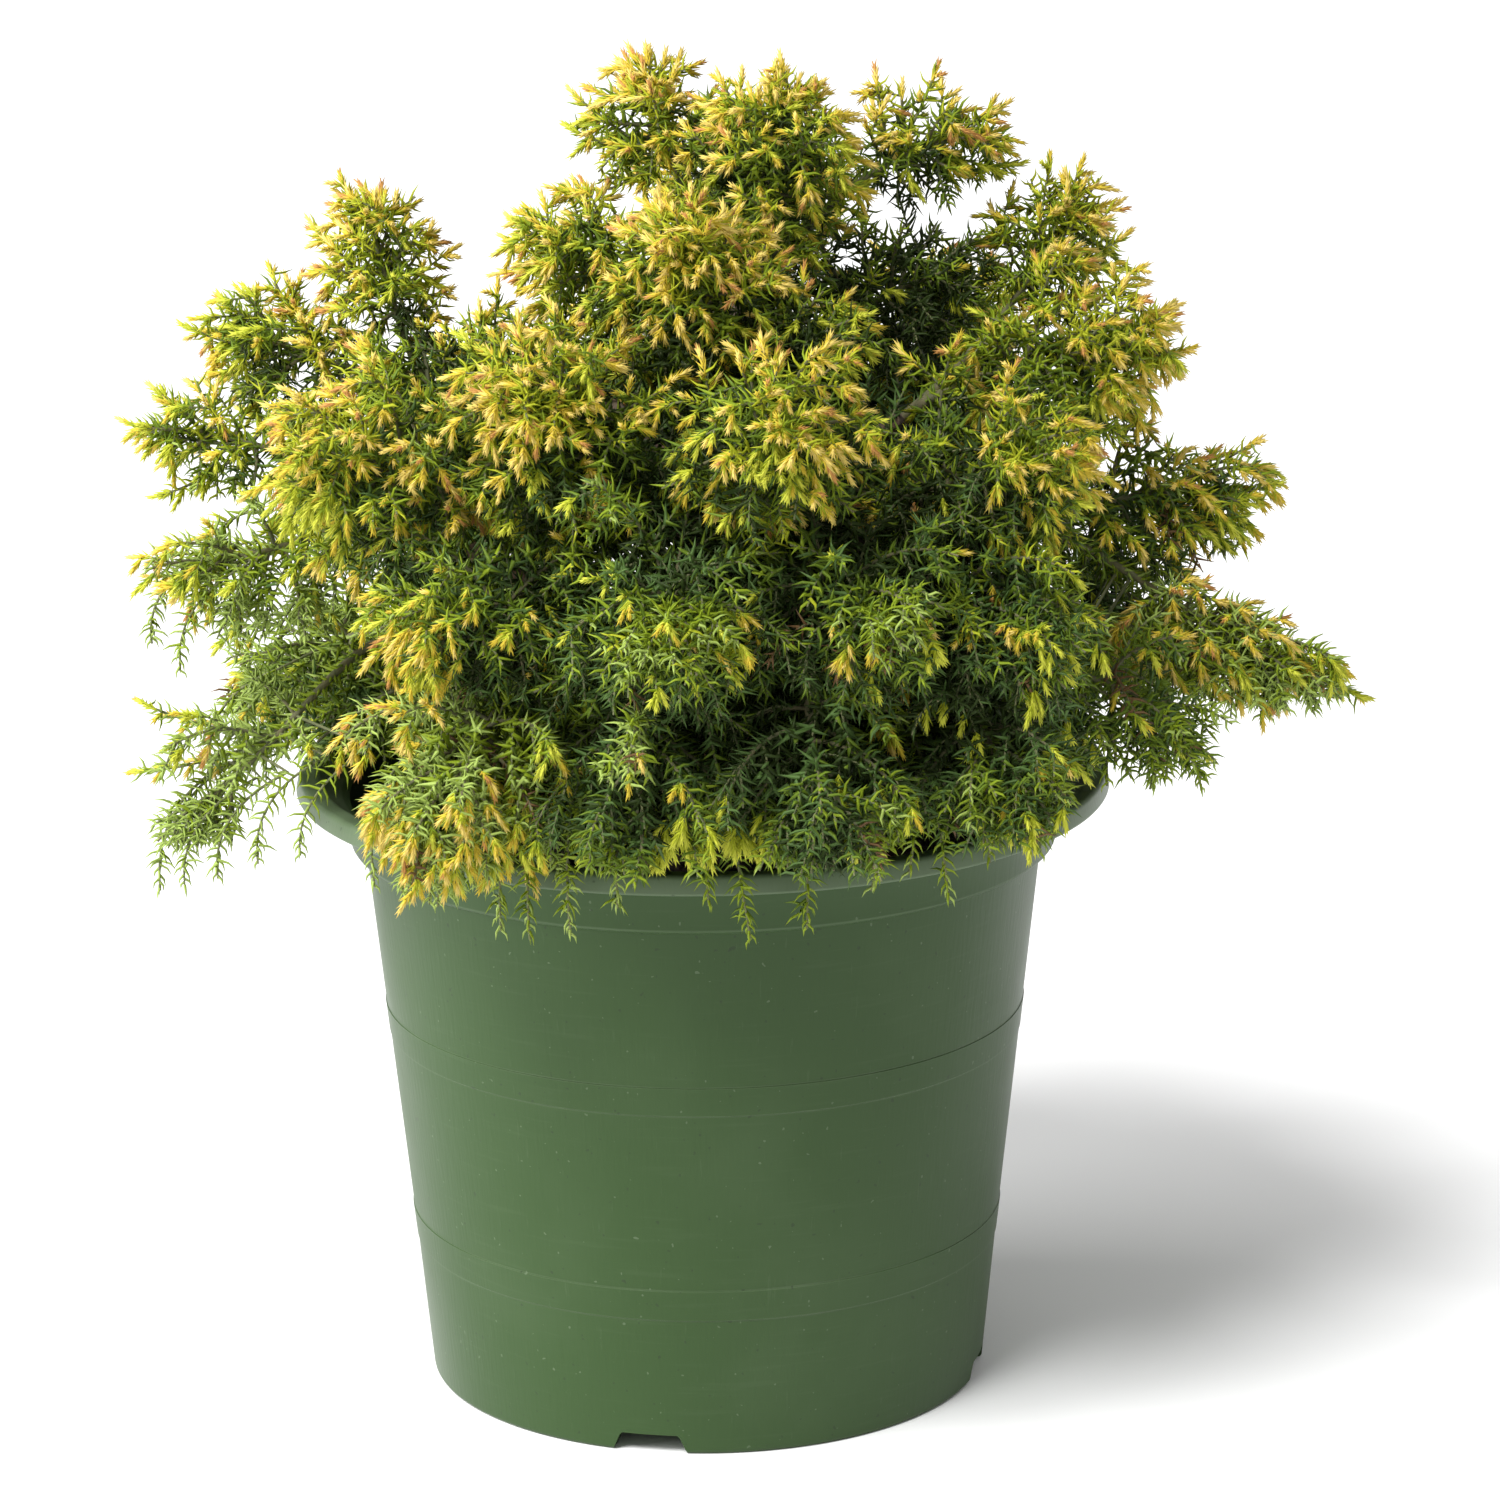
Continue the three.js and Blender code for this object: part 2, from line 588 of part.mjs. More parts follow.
const trunkRoom = solidLimb(trunk, CUT_ROOM);
addPiece('pot', pot(), plainFinish(FINISH.pot));
addPiece('potting_mix', pottingMix(), plainFinish(FINISH.mix));
addPiece('trunk', solidLimb(trunk), plainFinish(FINISH.bark));
boughs.forEach((limb, name) => {
  addPiece(name, largestBody(solidLimb(limb).subtract(trunkRoom)), plainFinish(FINISH.bark));
});
spaces.forEach((space) => {
  addPiece(`${space.name}_needles`, growCleanMass(space), needleFinish(space.centre.z));
});

export default plant;
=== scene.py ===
import functools
import json
import math

import bmesh
import bpy
import numpy as np
from bpy.props import FloatProperty, FloatVectorProperty, IntProperty, PointerProperty
from mathutils import Matrix, Vector, noise

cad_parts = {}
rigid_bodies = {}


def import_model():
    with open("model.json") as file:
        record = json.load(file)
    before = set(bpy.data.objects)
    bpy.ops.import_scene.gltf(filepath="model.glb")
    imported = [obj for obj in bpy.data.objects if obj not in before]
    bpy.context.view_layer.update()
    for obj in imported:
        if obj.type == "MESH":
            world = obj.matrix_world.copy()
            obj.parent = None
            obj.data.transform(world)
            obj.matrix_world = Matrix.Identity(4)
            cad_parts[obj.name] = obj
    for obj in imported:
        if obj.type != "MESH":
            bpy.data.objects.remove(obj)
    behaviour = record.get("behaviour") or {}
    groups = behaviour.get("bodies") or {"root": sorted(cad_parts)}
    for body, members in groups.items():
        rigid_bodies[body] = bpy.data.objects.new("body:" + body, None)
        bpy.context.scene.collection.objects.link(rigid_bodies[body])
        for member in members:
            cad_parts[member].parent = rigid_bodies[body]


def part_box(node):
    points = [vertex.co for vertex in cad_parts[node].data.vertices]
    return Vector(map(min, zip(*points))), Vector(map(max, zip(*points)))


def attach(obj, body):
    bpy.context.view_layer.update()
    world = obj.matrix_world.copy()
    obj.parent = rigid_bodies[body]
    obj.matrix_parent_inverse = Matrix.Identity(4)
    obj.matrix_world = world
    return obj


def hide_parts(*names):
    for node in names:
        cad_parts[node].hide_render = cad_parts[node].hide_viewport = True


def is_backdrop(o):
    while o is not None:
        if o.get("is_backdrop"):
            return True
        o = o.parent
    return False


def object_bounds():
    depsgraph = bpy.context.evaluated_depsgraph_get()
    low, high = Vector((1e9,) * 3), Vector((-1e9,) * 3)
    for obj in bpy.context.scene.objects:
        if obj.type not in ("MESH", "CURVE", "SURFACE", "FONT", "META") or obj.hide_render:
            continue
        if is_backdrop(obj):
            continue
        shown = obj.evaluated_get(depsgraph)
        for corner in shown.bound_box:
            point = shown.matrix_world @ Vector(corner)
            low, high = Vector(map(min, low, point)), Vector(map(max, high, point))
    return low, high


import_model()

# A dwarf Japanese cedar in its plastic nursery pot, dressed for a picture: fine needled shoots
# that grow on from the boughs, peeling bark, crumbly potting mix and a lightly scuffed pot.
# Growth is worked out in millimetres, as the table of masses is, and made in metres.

bl_info = {
    "name": "Potted Dwarf Cedar",
    "version": (1, 0, 0),
    "blender": (4, 5, 0),
    "location": "View3D > Sidebar > Cedar",
    "description": "Dresses a potted dwarf cedar with shoots, needles, bark, mix and pot",
    "category": "Add Mesh",
}

CAD_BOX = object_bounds()
POT_LOW, POT_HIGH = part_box("pot")
MM = 0.001
GOLDEN_ANGLE = 137.508

# Limbs, in millimetres
MIX_TOP = 198.0
TRUNK_FOOT = (4, 2)
TRUNK_HEAD = (20, -4, 404)
TRUNK_BEND = (-12, 10)
FLARE_RADIUS = 16.0
FLARE_HEIGHT = 22.0
TRUNK_RADIUS = 9.5
TRUNK_TIP_RADIUS = 3.0
BOUGH_ROOT_RADIUS = 4.4
BOUGH_TIP_RADIUS = 3.3
BOUGH_SAG = 0.1
LIMB_STEPS = 40
TRUNK_SIDES = 40
BOUGH_SIDES = 20

# Boughs: tip (azimuth, reach from the axis, height) and the height where each leaves the trunk
BOUGHS = {
    "left_peak_bough": ((176, 84, 340), 296),
    "left_arm_bough": ((189, 96, 306), 262),
    "left_front_bough": ((233, 64, 326), 318),
    "front_left_bough": ((241, 88, 276), 232),
    "left_low_bough": ((186, 96, 262), 221),
    "front_middle_bough": ((265, 90, 286), 252),
    "front_right_bough": ((287, 92, 284), 240),
    "cushion_bough": ((277, 94, 340), 306),
    "right_peak_bough": ((352, 70, 340), 300),
    "right_front_bough": ((311, 84, 312), 272),
    "right_side_bough": ((357, 98, 296), 256),
    "right_arm_bough": ((320, 92, 264), 226),
    "back_left_bough": ((131, 86, 280), 236),
    "back_middle_bough": ((84, 84, 284), 246),
    "back_right_bough": ((38, 88, 284), 268),
    "back_upper_bough": ((128, 64, 340), 312),
}

# Masses: region, name, heart (azimuth, reach, height), half length and half width of the oval
# space, the way it grows (lift, azimuth), what carries it, its share of golden tips, and how
# much lighter or darker its greens are, partly its own tone and partly painted light and shade
MASSES = [
    ("top", "top_left_head", (146, 18, 439), (27, 30), (66, 140), 372, 0.8, 0.1),
    ("top", "top_centre_head", (323, 33, 428), (37, 42), (82, 0), "tip", 0.8, 0.0),
    ("top", "top_right_head", (12, 78, 430), (36, 27), (6, 2), 384, 0.9, 0),
    ("top", "upper_left_front", (238, 60, 402), (36, 34), (22, 200), 350, 0.9, 0.1),
    ("top", "upper_front", (270, 78, 391), (48, 45), (55, 262), 360, 0.8, 0.05),
    ("top", "upper_right_front", (291, 77, 376), (38, 36), (12, 320), 340, 0.6, -0.05),
    ("top", "inner_right", (10, 70, 380), (37, 35), (20, 12), 352, 0.05, -0.3),
    ("top", "back_top", (80, 66, 388), (56, 52), (45, 85), 366, 0.8, 0),
    ("left", "left_peak", (176, 107, 390), (33, 29), (74, 186), "left_peak_bough", 0.75, 0.15),
    ("left", "left_shoulder", (172, 142, 358), (35, 31), (30, 170), "left_peak_bough", 0.8, 0.1),
    ("left", "left_inner", (187, 92, 352), (32, 30), (30, 186), 316, 0.3, -0.1),
    ("left", "left_arm", (183, 164, 336), (32, 23), (4, 182), "left_arm_bough", 0.75, 0.25),
    ("left", "left_side", (197, 153, 300), (42, 31), (2, 190), "left_arm_bough", 0.55, 0.45),
    ("left", "left_front", (225, 142, 345), (50, 47), (14, 222), "left_front_bough", 0.85, 0.15),
    ("left", "left_hanging", (198, 159, 228), (44, 42), (-30, 196), "left_low_bough", 0.4, 0.6),
    ("left", "left_back_side", (165, 135, 250), (49, 41), (-20, 165), "left_low_bough", 0.25, 0.5),
    ("front", "centre_left", (248, 114, 354), (54, 52), (38, 247), "left_front_bough", 0.8, 0.1),
    ("front", "front_left", (240, 137, 305), (54, 50), (0, 240), "front_left_bough", 0.35, 0.15),
    ("front", "front_left_cushion", (242, 161, 254), (50, 48), (-28, 244), "front_left_bough", 1.1, 0.65),
    ("front", "front_middle", (267, 142, 312), (56, 54), (-8, 267), "front_middle_bough", 0.12, 0.08),
    ("front", "front_hanging_left", (263, 152, 253), (54, 45), (-60, 262), "front_middle_bough", 0.12, 0.14),
    ("front", "front_right_middle", (290, 138, 312), (56, 54), (-8, 290), "front_right_bough", 0.15, 0.04),
    ("front", "front_hanging_right", (284, 156, 252), (53, 45), (-60, 286), "front_right_bough", 0.12, 0.06),
    ("front", "front_cushion", (280, 136, 360), (46, 44), (20, 278), "cushion_bough", 0.95, 0.1),
    ("right", "right_peak", (9, 122, 392), (31, 29), (56, 8), "right_peak_bough", 0.55, 0.1),
    ("right", "right_shoulder", (346, 126, 364), (46, 41), (16, 352), "right_peak_bough", 0.8, 0.15),
    ("right", "right_front", (315, 131, 340), (49, 48), (8, 316), "right_front_bough", 0.75, 0.06),
    ("right", "right_lower_front", (308, 142, 298), (54, 52), (-8, 308), "right_front_bough", 0.3, 0.04),
    ("right", "right_side", (1, 152, 310), (48, 36), (2, 2), "right_side_bough", 0.9, 0.15),
    ("right", "right_arm", (353, 177, 265), (55, 26), (-20, 354), "right_side_bough", 1.3, 0.5),
    ("right", "right_hanging", (339, 155, 256), (41, 36), (-28, 338), "right_arm_bough", 0.2, 0.08),
    ("right", "front_right_low", (306, 156, 258), (43, 42), (-30, 306), "right_arm_bough", 0.25, -0.05),
    ("back", "back_left", (140, 142, 300), (58, 54), (0, 142), "back_left_bough", 0.5, 0.05),
    ("back", "back_low_left", (122, 150, 250), (54, 52), (-35, 122), "back_left_bough", 0.25, 0.05),
    ("back", "back_middle", (96, 132, 318), (58, 54), (8, 94), "back_middle_bough", 0.6, 0),
    ("back", "back_low_right", (74, 150, 252), (54, 52), (-35, 74), "back_middle_bough", 0.25, 0),
    ("back", "back_right", (50, 142, 304), (58, 54), (0, 46), "back_right_bough", 0.5, 0),
    ("back", "right_back_side", (26, 152, 256), (56, 50), (-26, 24), "back_right_bough", 0.35, 0),
    ("back", "back_upper_left", (134, 94, 326), (52, 50), (20, 132), "back_upper_bough", 0.8, 0.05),
    ("back", "back_upper_right", (44, 108, 342), (54, 50), (22, 40), 330, 0.8, 0),
]
REGIONS = ("top", "left", "front", "right", "back")
REGION = np.array([REGIONS.index(row[0]) for row in MASSES])
MASS_NAMES = [row[1] for row in MASSES]
NODES = [f"{name}_needles" for name in MASS_NAMES]

# Tints of the needles, from the darkest greens, which are mostly painted shade inside the crown, to the
# young tips (linear colours)
TINTS = {
    "deep_green": (0.028, 0.048, 0.008),
    "blue_green": (0.068, 0.125, 0.028),
    "mid_green": (0.112, 0.175, 0.013),
    "leaf_green": (0.205, 0.280, 0.013),
    "pale_green": (0.300, 0.400, 0.085),
    "lime": (0.390, 0.430, 0.020),
    "young_lime": (0.600, 0.620, 0.060),
    "gold": (0.620, 0.470, 0.040),
    "straw": (0.780, 0.600, 0.150),
    "bronze": (0.520, 0.260, 0.070),
    "brown": (0.150, 0.085, 0.035),
}
TINT_NAMES = list(TINTS)


# Vectors and chance

def unit(vectors):
    return vectors / np.maximum(np.linalg.norm(vectors, axis=-1, keepdims=True), 1e-9)


def direction(lift, azimuth):
    lift, azimuth = np.radians(lift), np.radians(azimuth)
    level = np.cos(lift)
    return np.stack([level * np.cos(azimuth), level * np.sin(azimuth), np.sin(lift)], -1)


def place(azimuth, reach, height):
    point = direction(0, azimuth) * reach
    point[2] = height
    return point


def across(axis):
    """Two unit vectors square to each axis, the first of them level."""
    steep = np.abs(axis[..., 2:]) > 0.95
    side = unit(np.cross(axis, np.where(steep, (1.0, 0, 0), (0, 0, 1.0))))
    return side, unit(np.cross(side, axis))


def leaning(axis, angle, turn):
    """The unit vector at an angle to each axis, turned round it; angles in degrees."""
    side, top = across(axis)
    angle, turn = np.radians(angle)[..., None], np.radians(turn)[..., None]
    return (axis * np.cos(angle) + side * np.sin(angle) * np.cos(turn)
            + top * np.sin(angle) * np.sin(turn))


def cloud(points, scale):
    """Smooth chance from about -0.5 to 0.5 that neighbours share."""
    return np.array([noise.noise(Vector(point) * scale) for point in points])


def blend(low, high, share):
    return low + (high - low) * share


def smooth(values, low, high):
    share = np.clip((values - low) / (high - low), 0, 1)
    return share * share * (3 - 2 * share)


class Chance:
    """Seeded chance, drawn in order: shares from 0 to 1 and what is made of them."""

    def __init__(self, seed):
        self.random = np.random.default_rng(seed).random

    def about(self, count, spread):
        """Amounts around nothing, within half the spread."""
        return spread * (self.random(count) - 0.5)

    def between(self, count, low, high):
        return blend(low, high, self.random(count))


# Settings that a user would change

def metres(name, description, default):
    return FloatProperty(name=name, description=description, default=default, unit="LENGTH")


class CEDAR_PG_pot(bpy.types.PropertyGroup):
    lip_radius: metres("Lip radius", "Outer radius of the rolled lip", POT_HIGH.x)
    height: metres("Height", "Height of the pot from its foot to its lip", POT_HIGH.z)
    wall: metres("Wall", "Thickness of the moulded wall", 0.002)
    sides: IntProperty(
        name="Sides", description="Steps round the pot", default=192)
    colour: FloatVectorProperty(
        name="Colour", description="Colour of the moulded plastic", subtype="COLOR",
        default=(0.031, 0.065, 0.018))
    # The worn colour also paints the sky's reflection on the lip and highlights along the band edges
    worn_and_sheen_colour: FloatVectorProperty(
        name="Worn colour", description="Colour of scuffed and dusty plastic", subtype="COLOR",
        default=(0.120, 0.165, 0.096))


class CEDAR_PG_growth(bpy.types.PropertyGroup):
    twig_density: FloatProperty(
        name="Twig density", description="Twigs of a mass for each millimetre of its half width",
        default=0.62)
    shoot_spacing: metres("Shoot spacing", "Distance between side shoots along a twig", 0.0046)
    shoot_length: metres("Shoot length", "Length of the longest side shoots", 0.030)
    tuft_spacing: metres("Tuft spacing", "Distance between the side tufts of a shoot", 0.0046)
    tuft_length: metres("Tuft length", "Length of the stalk of a young tuft", 0.0084)
    needle_length: metres("Needle length", "Length of a full-grown green needle", 0.0074)
    needle_girth: metres("Needle girth", "Radius of a green needle at its base", 0.0006)
    needle_spacing: metres("Needle spacing", "Distance between needles along a shoot", 0.0012)
    seed: IntProperty(name="Seed", description="Seed of all chance in the crown", default=11)


class CEDAR_PG_stage(bpy.types.PropertyGroup):
    floor_size: metres("Floor size", "Side of the square floor", 40.0)
    sun_strength: FloatProperty(
        name="Sun", description="Strength of the soft light from the upper left", default=3.45)
    side_power: FloatProperty(
        name="Side light", description="Power of the tall soft light at the left", default=50.0,
        unit="POWER")
    sky: FloatProperty(name="Sky", description="Strength of the light all round", default=0.5)


# Nodes: expressions on sockets, and one method that adds any node

class Signal:
    """The output of a node, for use in expressions."""

    def __init__(self, graph, socket):
        self.graph = graph
        self.socket = socket

    def out(self, name):
        return Signal(self.graph, self.socket.node.outputs[name])

    def maths(self, operation, first, second):
        return self.graph.add("ShaderNodeMath", {"operation": operation}, {0: first, 1: second})

    def __add__(self, other):
        return self.maths("ADD", self, other)

    __radd__ = __add__

    def __sub__(self, other):
        return self.maths("SUBTRACT", self, other)

    def __rsub__(self, other):
        return self.maths("SUBTRACT", other, self)

    def __mul__(self, other):
        return self.maths("MULTIPLY", self, other)


class Graph:
    """A node tree under construction."""

    def __init__(self, tree):
        self.tree = tree

    def add(self, kind, settings=None, values=None, out=0):
        """Adds a node: its settings first, then the values or links of its sockets."""
        node = self.tree.nodes.new(kind)
        for name, value in (settings or {}).items():
            setattr(node, name, value)
        for name, value in (values or {}).items():
            for one in value if isinstance(value, list) else [value]:
                if isinstance(one, Signal):
                    self.tree.links.new(one.socket, node.inputs[name])
                else:
                    node.inputs[name].default_value = one
        return Signal(self, node.outputs[out]) if node.outputs else node

    def mix(self, share, first, second):
        colours = [(*c, 1) if isinstance(c, tuple) else c for c in (first, second)]
        return self.add("ShaderNodeMix", {"data_type": "RGBA"},
                        {0: share, 6: colours[0], 7: colours[1]}, out=2)

    def ramp(self, value, low, high):
        """0 below low, 1 above high."""
        return self.add("ShaderNodeMapRange", {"interpolation_type": "SMOOTHSTEP"},
                        {"Value": value, "From Min": low, "From Max": high})

    def noise(self, place, scale, detail):
        return self.add("ShaderNodeTexNoise", {},
                        {"Vector": place, "Scale": scale, "Detail": detail, "Roughness": 0.5})

    def place(self, scale=(1, 1, 1)):
        """Object coordinates, stretched by a scale along each axis."""
        here = self.add("ShaderNodeTexCoord", out="Object")
        return self.add("ShaderNodeMapping", {}, {"Vector": here, "Scale": scale})


def new_material(name, finish=None, **constants):
    """A material whose surface is a Principled shader; finish returns its varying inputs, if any."""
    material = bpy.data.materials.new(name)
    material.use_nodes = True
    graph = Graph(material.node_tree)
    shader = material.node_tree.nodes["Principled BSDF"]
    for name, value in constants.items():
        shader.inputs[name.replace("_", " ").title().replace("Ior", "IOR")].default_value = value
    for name, signal in (finish(graph) if finish else {}).items():
        material.node_tree.links.new(signal.socket, shader.inputs[name])
    return material


def bump(graph, height, strength, distance):
    return graph.add("ShaderNodeBump", {},
                     {"Height": height, "Strength": strength, "Distance": distance})


def plastic_material(settings):
    """Moulded plastic: cloudy, with dust, fine scratches, dark specks, a paler lip that is partly wear and
    partly a painted reflection of the sky, and thin light lines along the band edges that are partly wear
    and partly painted highlights.
    """

    def finish(graph):
        here = graph.place()
        height = graph.add("ShaderNodeSeparateXYZ", {}, {0: here}, out="Z")
        clouds = graph.noise(here, 14, 4)
        streaks = graph.noise(graph.place((6, 6, 90)), 6, 3)
        scratches = graph.noise(graph.place((220, 220, 14)), 3, 2)
        specks = graph.noise(here, 420, 1)
        # The lip is paler: partly wear, partly a painted reflection of the sky on its rolled edge
        lip = graph.ramp(height, RING_TOP - 0.0004, RING_TOP + 0.0004)
        dust = graph.ramp(clouds, 0.45, 0.75) * 0.10 + graph.ramp(streaks, 0.55, 0.75) * 0.05
        wear_and_sheen = dust + graph.ramp(scratches, 0.68, 0.76) * 0.08 + lip * 0.70
        # Thin light lines at the band edges and under the stacking ring: partly rubbed wear, partly painted
        # edge highlights
        for edge in (*BANDS[0], *BANDS[1], RING_BOTTOM + 0.0012):
            off = height - edge
            near = graph.ramp(off.maths("ABSOLUTE", off, 0.0), 0.0006, 0.0001)
            wear_and_sheen = wear_and_sheen + near * (streaks * 0.35 + 0.05)
        grit = graph.noise(here, 620, 0)
        wear_and_sheen = wear_and_sheen + graph.ramp(grit, 0.82, 0.86) * 0.5
        dark = graph.ramp(specks, 0.72, 0.78) * 0.5
        worn_and_sheen = graph.mix(wear_and_sheen, tuple(settings.colour), tuple(settings.worn_and_sheen_colour))
        colour = graph.mix(dark, worn_and_sheen, (0.02, 0.03, 0.016))
        return {
            "Base Color": colour,
            "Roughness": graph.ramp(clouds, 0.3, 0.8) * 0.14 + 0.36,
            "Normal": bump(graph, scratches + clouds * 0.5, 0.12, 0.0006),
        }

    return new_material("pot_plastic", finish, specular_ior_level=0.22)


def mix_material():
    """Moist bark and peat: dark crumbs with a few paler fibres."""

    def finish(graph):
        here = graph.place()
        crumbs = graph.add("ShaderNodeTexVoronoi", {}, {"Vector": here, "Scale": 260.0}, out="Color")
        shade = graph.add("ShaderNodeSeparateXYZ", {}, {0: crumbs}, out="X")
        grain = graph.noise(here, 700, 4)
        colour = graph.mix(shade, (0.010, 0.006, 0.004), (0.060, 0.034, 0.020))
        return {
            "Base Color": graph.mix(graph.ramp(grain, 0.6, 0.75) * 0.5, colour, (0.12, 0.08, 0.05)),
            "Normal": bump(graph, grain, 0.6, 0.0015),
        }

    return new_material("potting_mix", finish, roughness=0.95)


def bark_material(name="bark", young=0.0):
    """Fibrous red-brown bark with long ridges; young wood is greener and smoother."""

    def finish(graph):
        fibres = graph.noise(graph.place((1, 1, 0.12)), 420, 5)
        patches = graph.noise(graph.place(), 60, 3)
        ridged = graph.mix(graph.ramp(fibres, 0.35, 0.68), (0.034, 0.021, 0.013), (0.170, 0.105, 0.065))
        weathered = graph.mix(graph.ramp(patches, 0.48, 0.7) * 0.55, ridged, (0.230, 0.195, 0.155))
        return {
            "Base Color": graph.mix(young + graph.ramp(patches, 0.4, 0.8) * 0.1, weathered,
                                    (0.150, 0.175, 0.070)),
            "Normal": bump(graph, fibres, 0.5, 0.0008),
        }

    return new_material(name, finish, roughness=0.85)


def needle_material(tint):
    """One tint of needles: a plain colour under a thin waxy bloom."""
    colour = (*TINTS[tint], 1)
    return new_material(f"{tint}_needles", base_color=colour, roughness=0.5, specular_ior_level=0.2)


# Meshes

def new_object(name, data):
    holder = bpy.data.objects.new(name, data)
    bpy.context.scene.collection.objects.link(holder)
    return holder


def mesh_piece(name, vertices, faces, material, smooth_shaded=True):
    mesh = bpy.data.meshes.new(name)
    mesh.from_pydata(np.asarray(vertices, float).tolist(), [], faces)
    mesh.validate()
    piece = new_object(name, mesh)
    if material:
        mesh.materials.append(material)
    mesh.shade_smooth() if smooth_shaded else mesh.shade_flat()
    return piece


def settle(piece, slot, *nodes):
    """Gives a finished piece to the plant's one body and hides the parts that it stands for; the slot is not
    used.
    """
    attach(piece, "root")
    if nodes:
        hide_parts(*nodes)


def freeze(piece):
    """Turns a piece's evaluated geometry into its plain mesh and removes its modifiers."""
    graph = bpy.context.evaluated_depsgraph_get()
    plain = bpy.data.meshes.new_from_object(piece.evaluated_get(graph))
    plain.name = piece.name
    old = piece.data
    piece.modifiers.clear()
    piece.data = plain
    bpy.data.meshes.remove(old)
    for attribute in [a.name for a in plain.attributes if not a.is_internal and not a.is_required]:
        if attribute not in ("sharp_face", "sharp_edge", "material_index"):
            plain.attributes.remove(plain.attributes[attribute])
    return piece


def turned_outline(outline, sides):
    """A closed surface turned round Z through the outline's points, which start and end on it."""
    vertices = [(0, 0, outline[0][1]), (0, 0, outline[-1][1])]
    rings = outline[1:-1]
    for radius, height in rings:
        for k in range(sides):
            turn = 2 * math.pi * k / sides
            vertices.append((radius * math.cos(turn), radius * math.sin(turn), height))
    corner = lambda ring, k: 2 + ring * sides + k % sides
    faces = []
    for k in range(sides):
        faces.append((0, corner(0, k + 1), corner(0, k)))
        faces.append((1, corner(len(rings) - 1, k), corner(len(rings) - 1, k + 1)))
        for ring in range(len(rings) - 1):
            faces.append((corner(ring, k), corner(ring, k + 1),
                          corner(ring + 1, k + 1), corner(ring + 1, k)))
    return vertices, faces


def ring_faces(rings, sides):
    """Four-sided faces between neighbouring rings of points, each ring closed round."""
    return [(ring * sides + k, ring * sides + (k + 1) % sides,
             (ring + 1) * sides + (k + 1) % sides, (ring + 1) * sides + k)
            for ring in range(rings - 1) for k in range(sides)]


def bark_relief(point, turn):
    """Long ridges that wander round the limb, and a few raised flakes, as a share of its radius."""
    height = point[2]
    fibre = noise.noise(Vector((6 * math.cos(turn), 6 * math.sin(turn), height * 0.035)))
    flake = noise.noise(Vector((2.4 * math.cos(turn), 2.4 * math.sin(turn), height * 0.09 + 7)))
    return 0.09 * fibre + 0.07 * max(0.0, flake)


def tube(path, radii, sides):
    """A closed tube of bark along a path."""
    count = len(path)
    ahead = unit(np.gradient(path, axis=0))
    side = np.empty_like(path)
    side[0] = across(ahead[0])[0]
    for k in range(1, count):
        side[k] = unit(side[k - 1] - ahead[k] * np.dot(side[k - 1], ahead[k]))
    top = np.cross(ahead, side)
    turns = np.linspace(0, 2 * math.pi, sides, endpoint=False)
    vertices = []
    for k in range(count):
        for turn in turns:
            way = side[k] * math.cos(turn) + top[k] * math.sin(turn)
            vertices.append(path[k] + way * (radii[k] * (1 + bark_relief(path[k], turn))))
    caps = [tuple(range(sides - 1, -1, -1)), tuple((count - 1) * sides + k for k in range(sides))]
    return np.array(vertices) * MM, caps + ring_faces(count, sides)


# Limbs: the trunk and boughs

def bezier(first, second, third, steps):
    share = np.linspace(0, 1, steps + 1)[:, None]
    return first * (1 - share) ** 2 + 2 * second * share * (1 - share) + third * share ** 2


def trunk_radius(height):
    share = (height - MIX_TOP) / (TRUNK_HEAD[2] - MIX_TOP)
    flare = np.maximum(0, 1 - (height - MIX_TOP) / FLARE_HEIGHT)
    return blend(TRUNK_RADIUS, TRUNK_TIP_RADIUS, share) + (FLARE_RADIUS - TRUNK_RADIUS) * flare ** 2


@functools.cache
def trunk_path():
    foot = np.array((*TRUNK_FOOT, MIX_TOP + 0.3))
    neck = np.array((*TRUNK_FOOT, MIX_TOP + FLARE_HEIGHT / 3))
    head = np.array(TRUNK_HEAD, float)
    middle = (neck + head) / 2 + (*TRUNK_BEND, 0)
    return np.vstack([bezier(foot, (foot + neck) / 2, neck, 4)[:-1],
                      bezier(neck, middle, head, LIMB_STEPS)])


def run(path):
    """How far along a path each of its points lies."""
    return np.append(0, np.cumsum(np.linalg.norm(np.diff(path, axis=0), axis=1)))


def sampled(stops, along, values):
    """Values that are given along a path, read at the stops."""
    return np.stack([np.interp(stops, along, column) for column in values.T], -1)


def trunk_point(height):
    path = trunk_path()
    return sampled(height, path[:, 2], path)


@functools.cache
def bough_path(name):
    tip, height = BOUGHS[name]
    start, end = trunk_point(height), place(*tip)
    middle = (start + end) / 2
    middle[2] -= BOUGH_SAG * np.linalg.norm(end - start)
    return bezier(start, middle, end, LIMB_STEPS)


def limbs():
    """The path and the radii of the trunk and of each bough."""
    parts = {"trunk": (trunk_path(), trunk_radius(trunk_path()[:, 2]))}
    for name in BOUGHS:
        path = bough_path(name)
        parts[name] = path, np.linspace(BOUGH_ROOT_RADIUS, BOUGH_TIP_RADIUS, len(path))
    return parts


@functools.cache
def limb_points():
    """Points along the trunk and boughs with their radii, to keep shoots off them."""
    paths, radii = zip(*limbs().values())
    return np.vstack(paths), np.concatenate(radii)


# Spaces of the masses

HEARTS = np.array([place(*row[2]) for row in MASSES])
HALF_LONG, HALF_WIDE = np.array([row[3] for row in MASSES], float).T
AXES = np.array([direction(*row[4]) for row in MASSES])
# The shift of a mass's greens is partly painted light and shade
GOLD_SHARE, SHADE_AND_TONE_SHIFT = np.array([row[6:8] for row in MASSES]).T
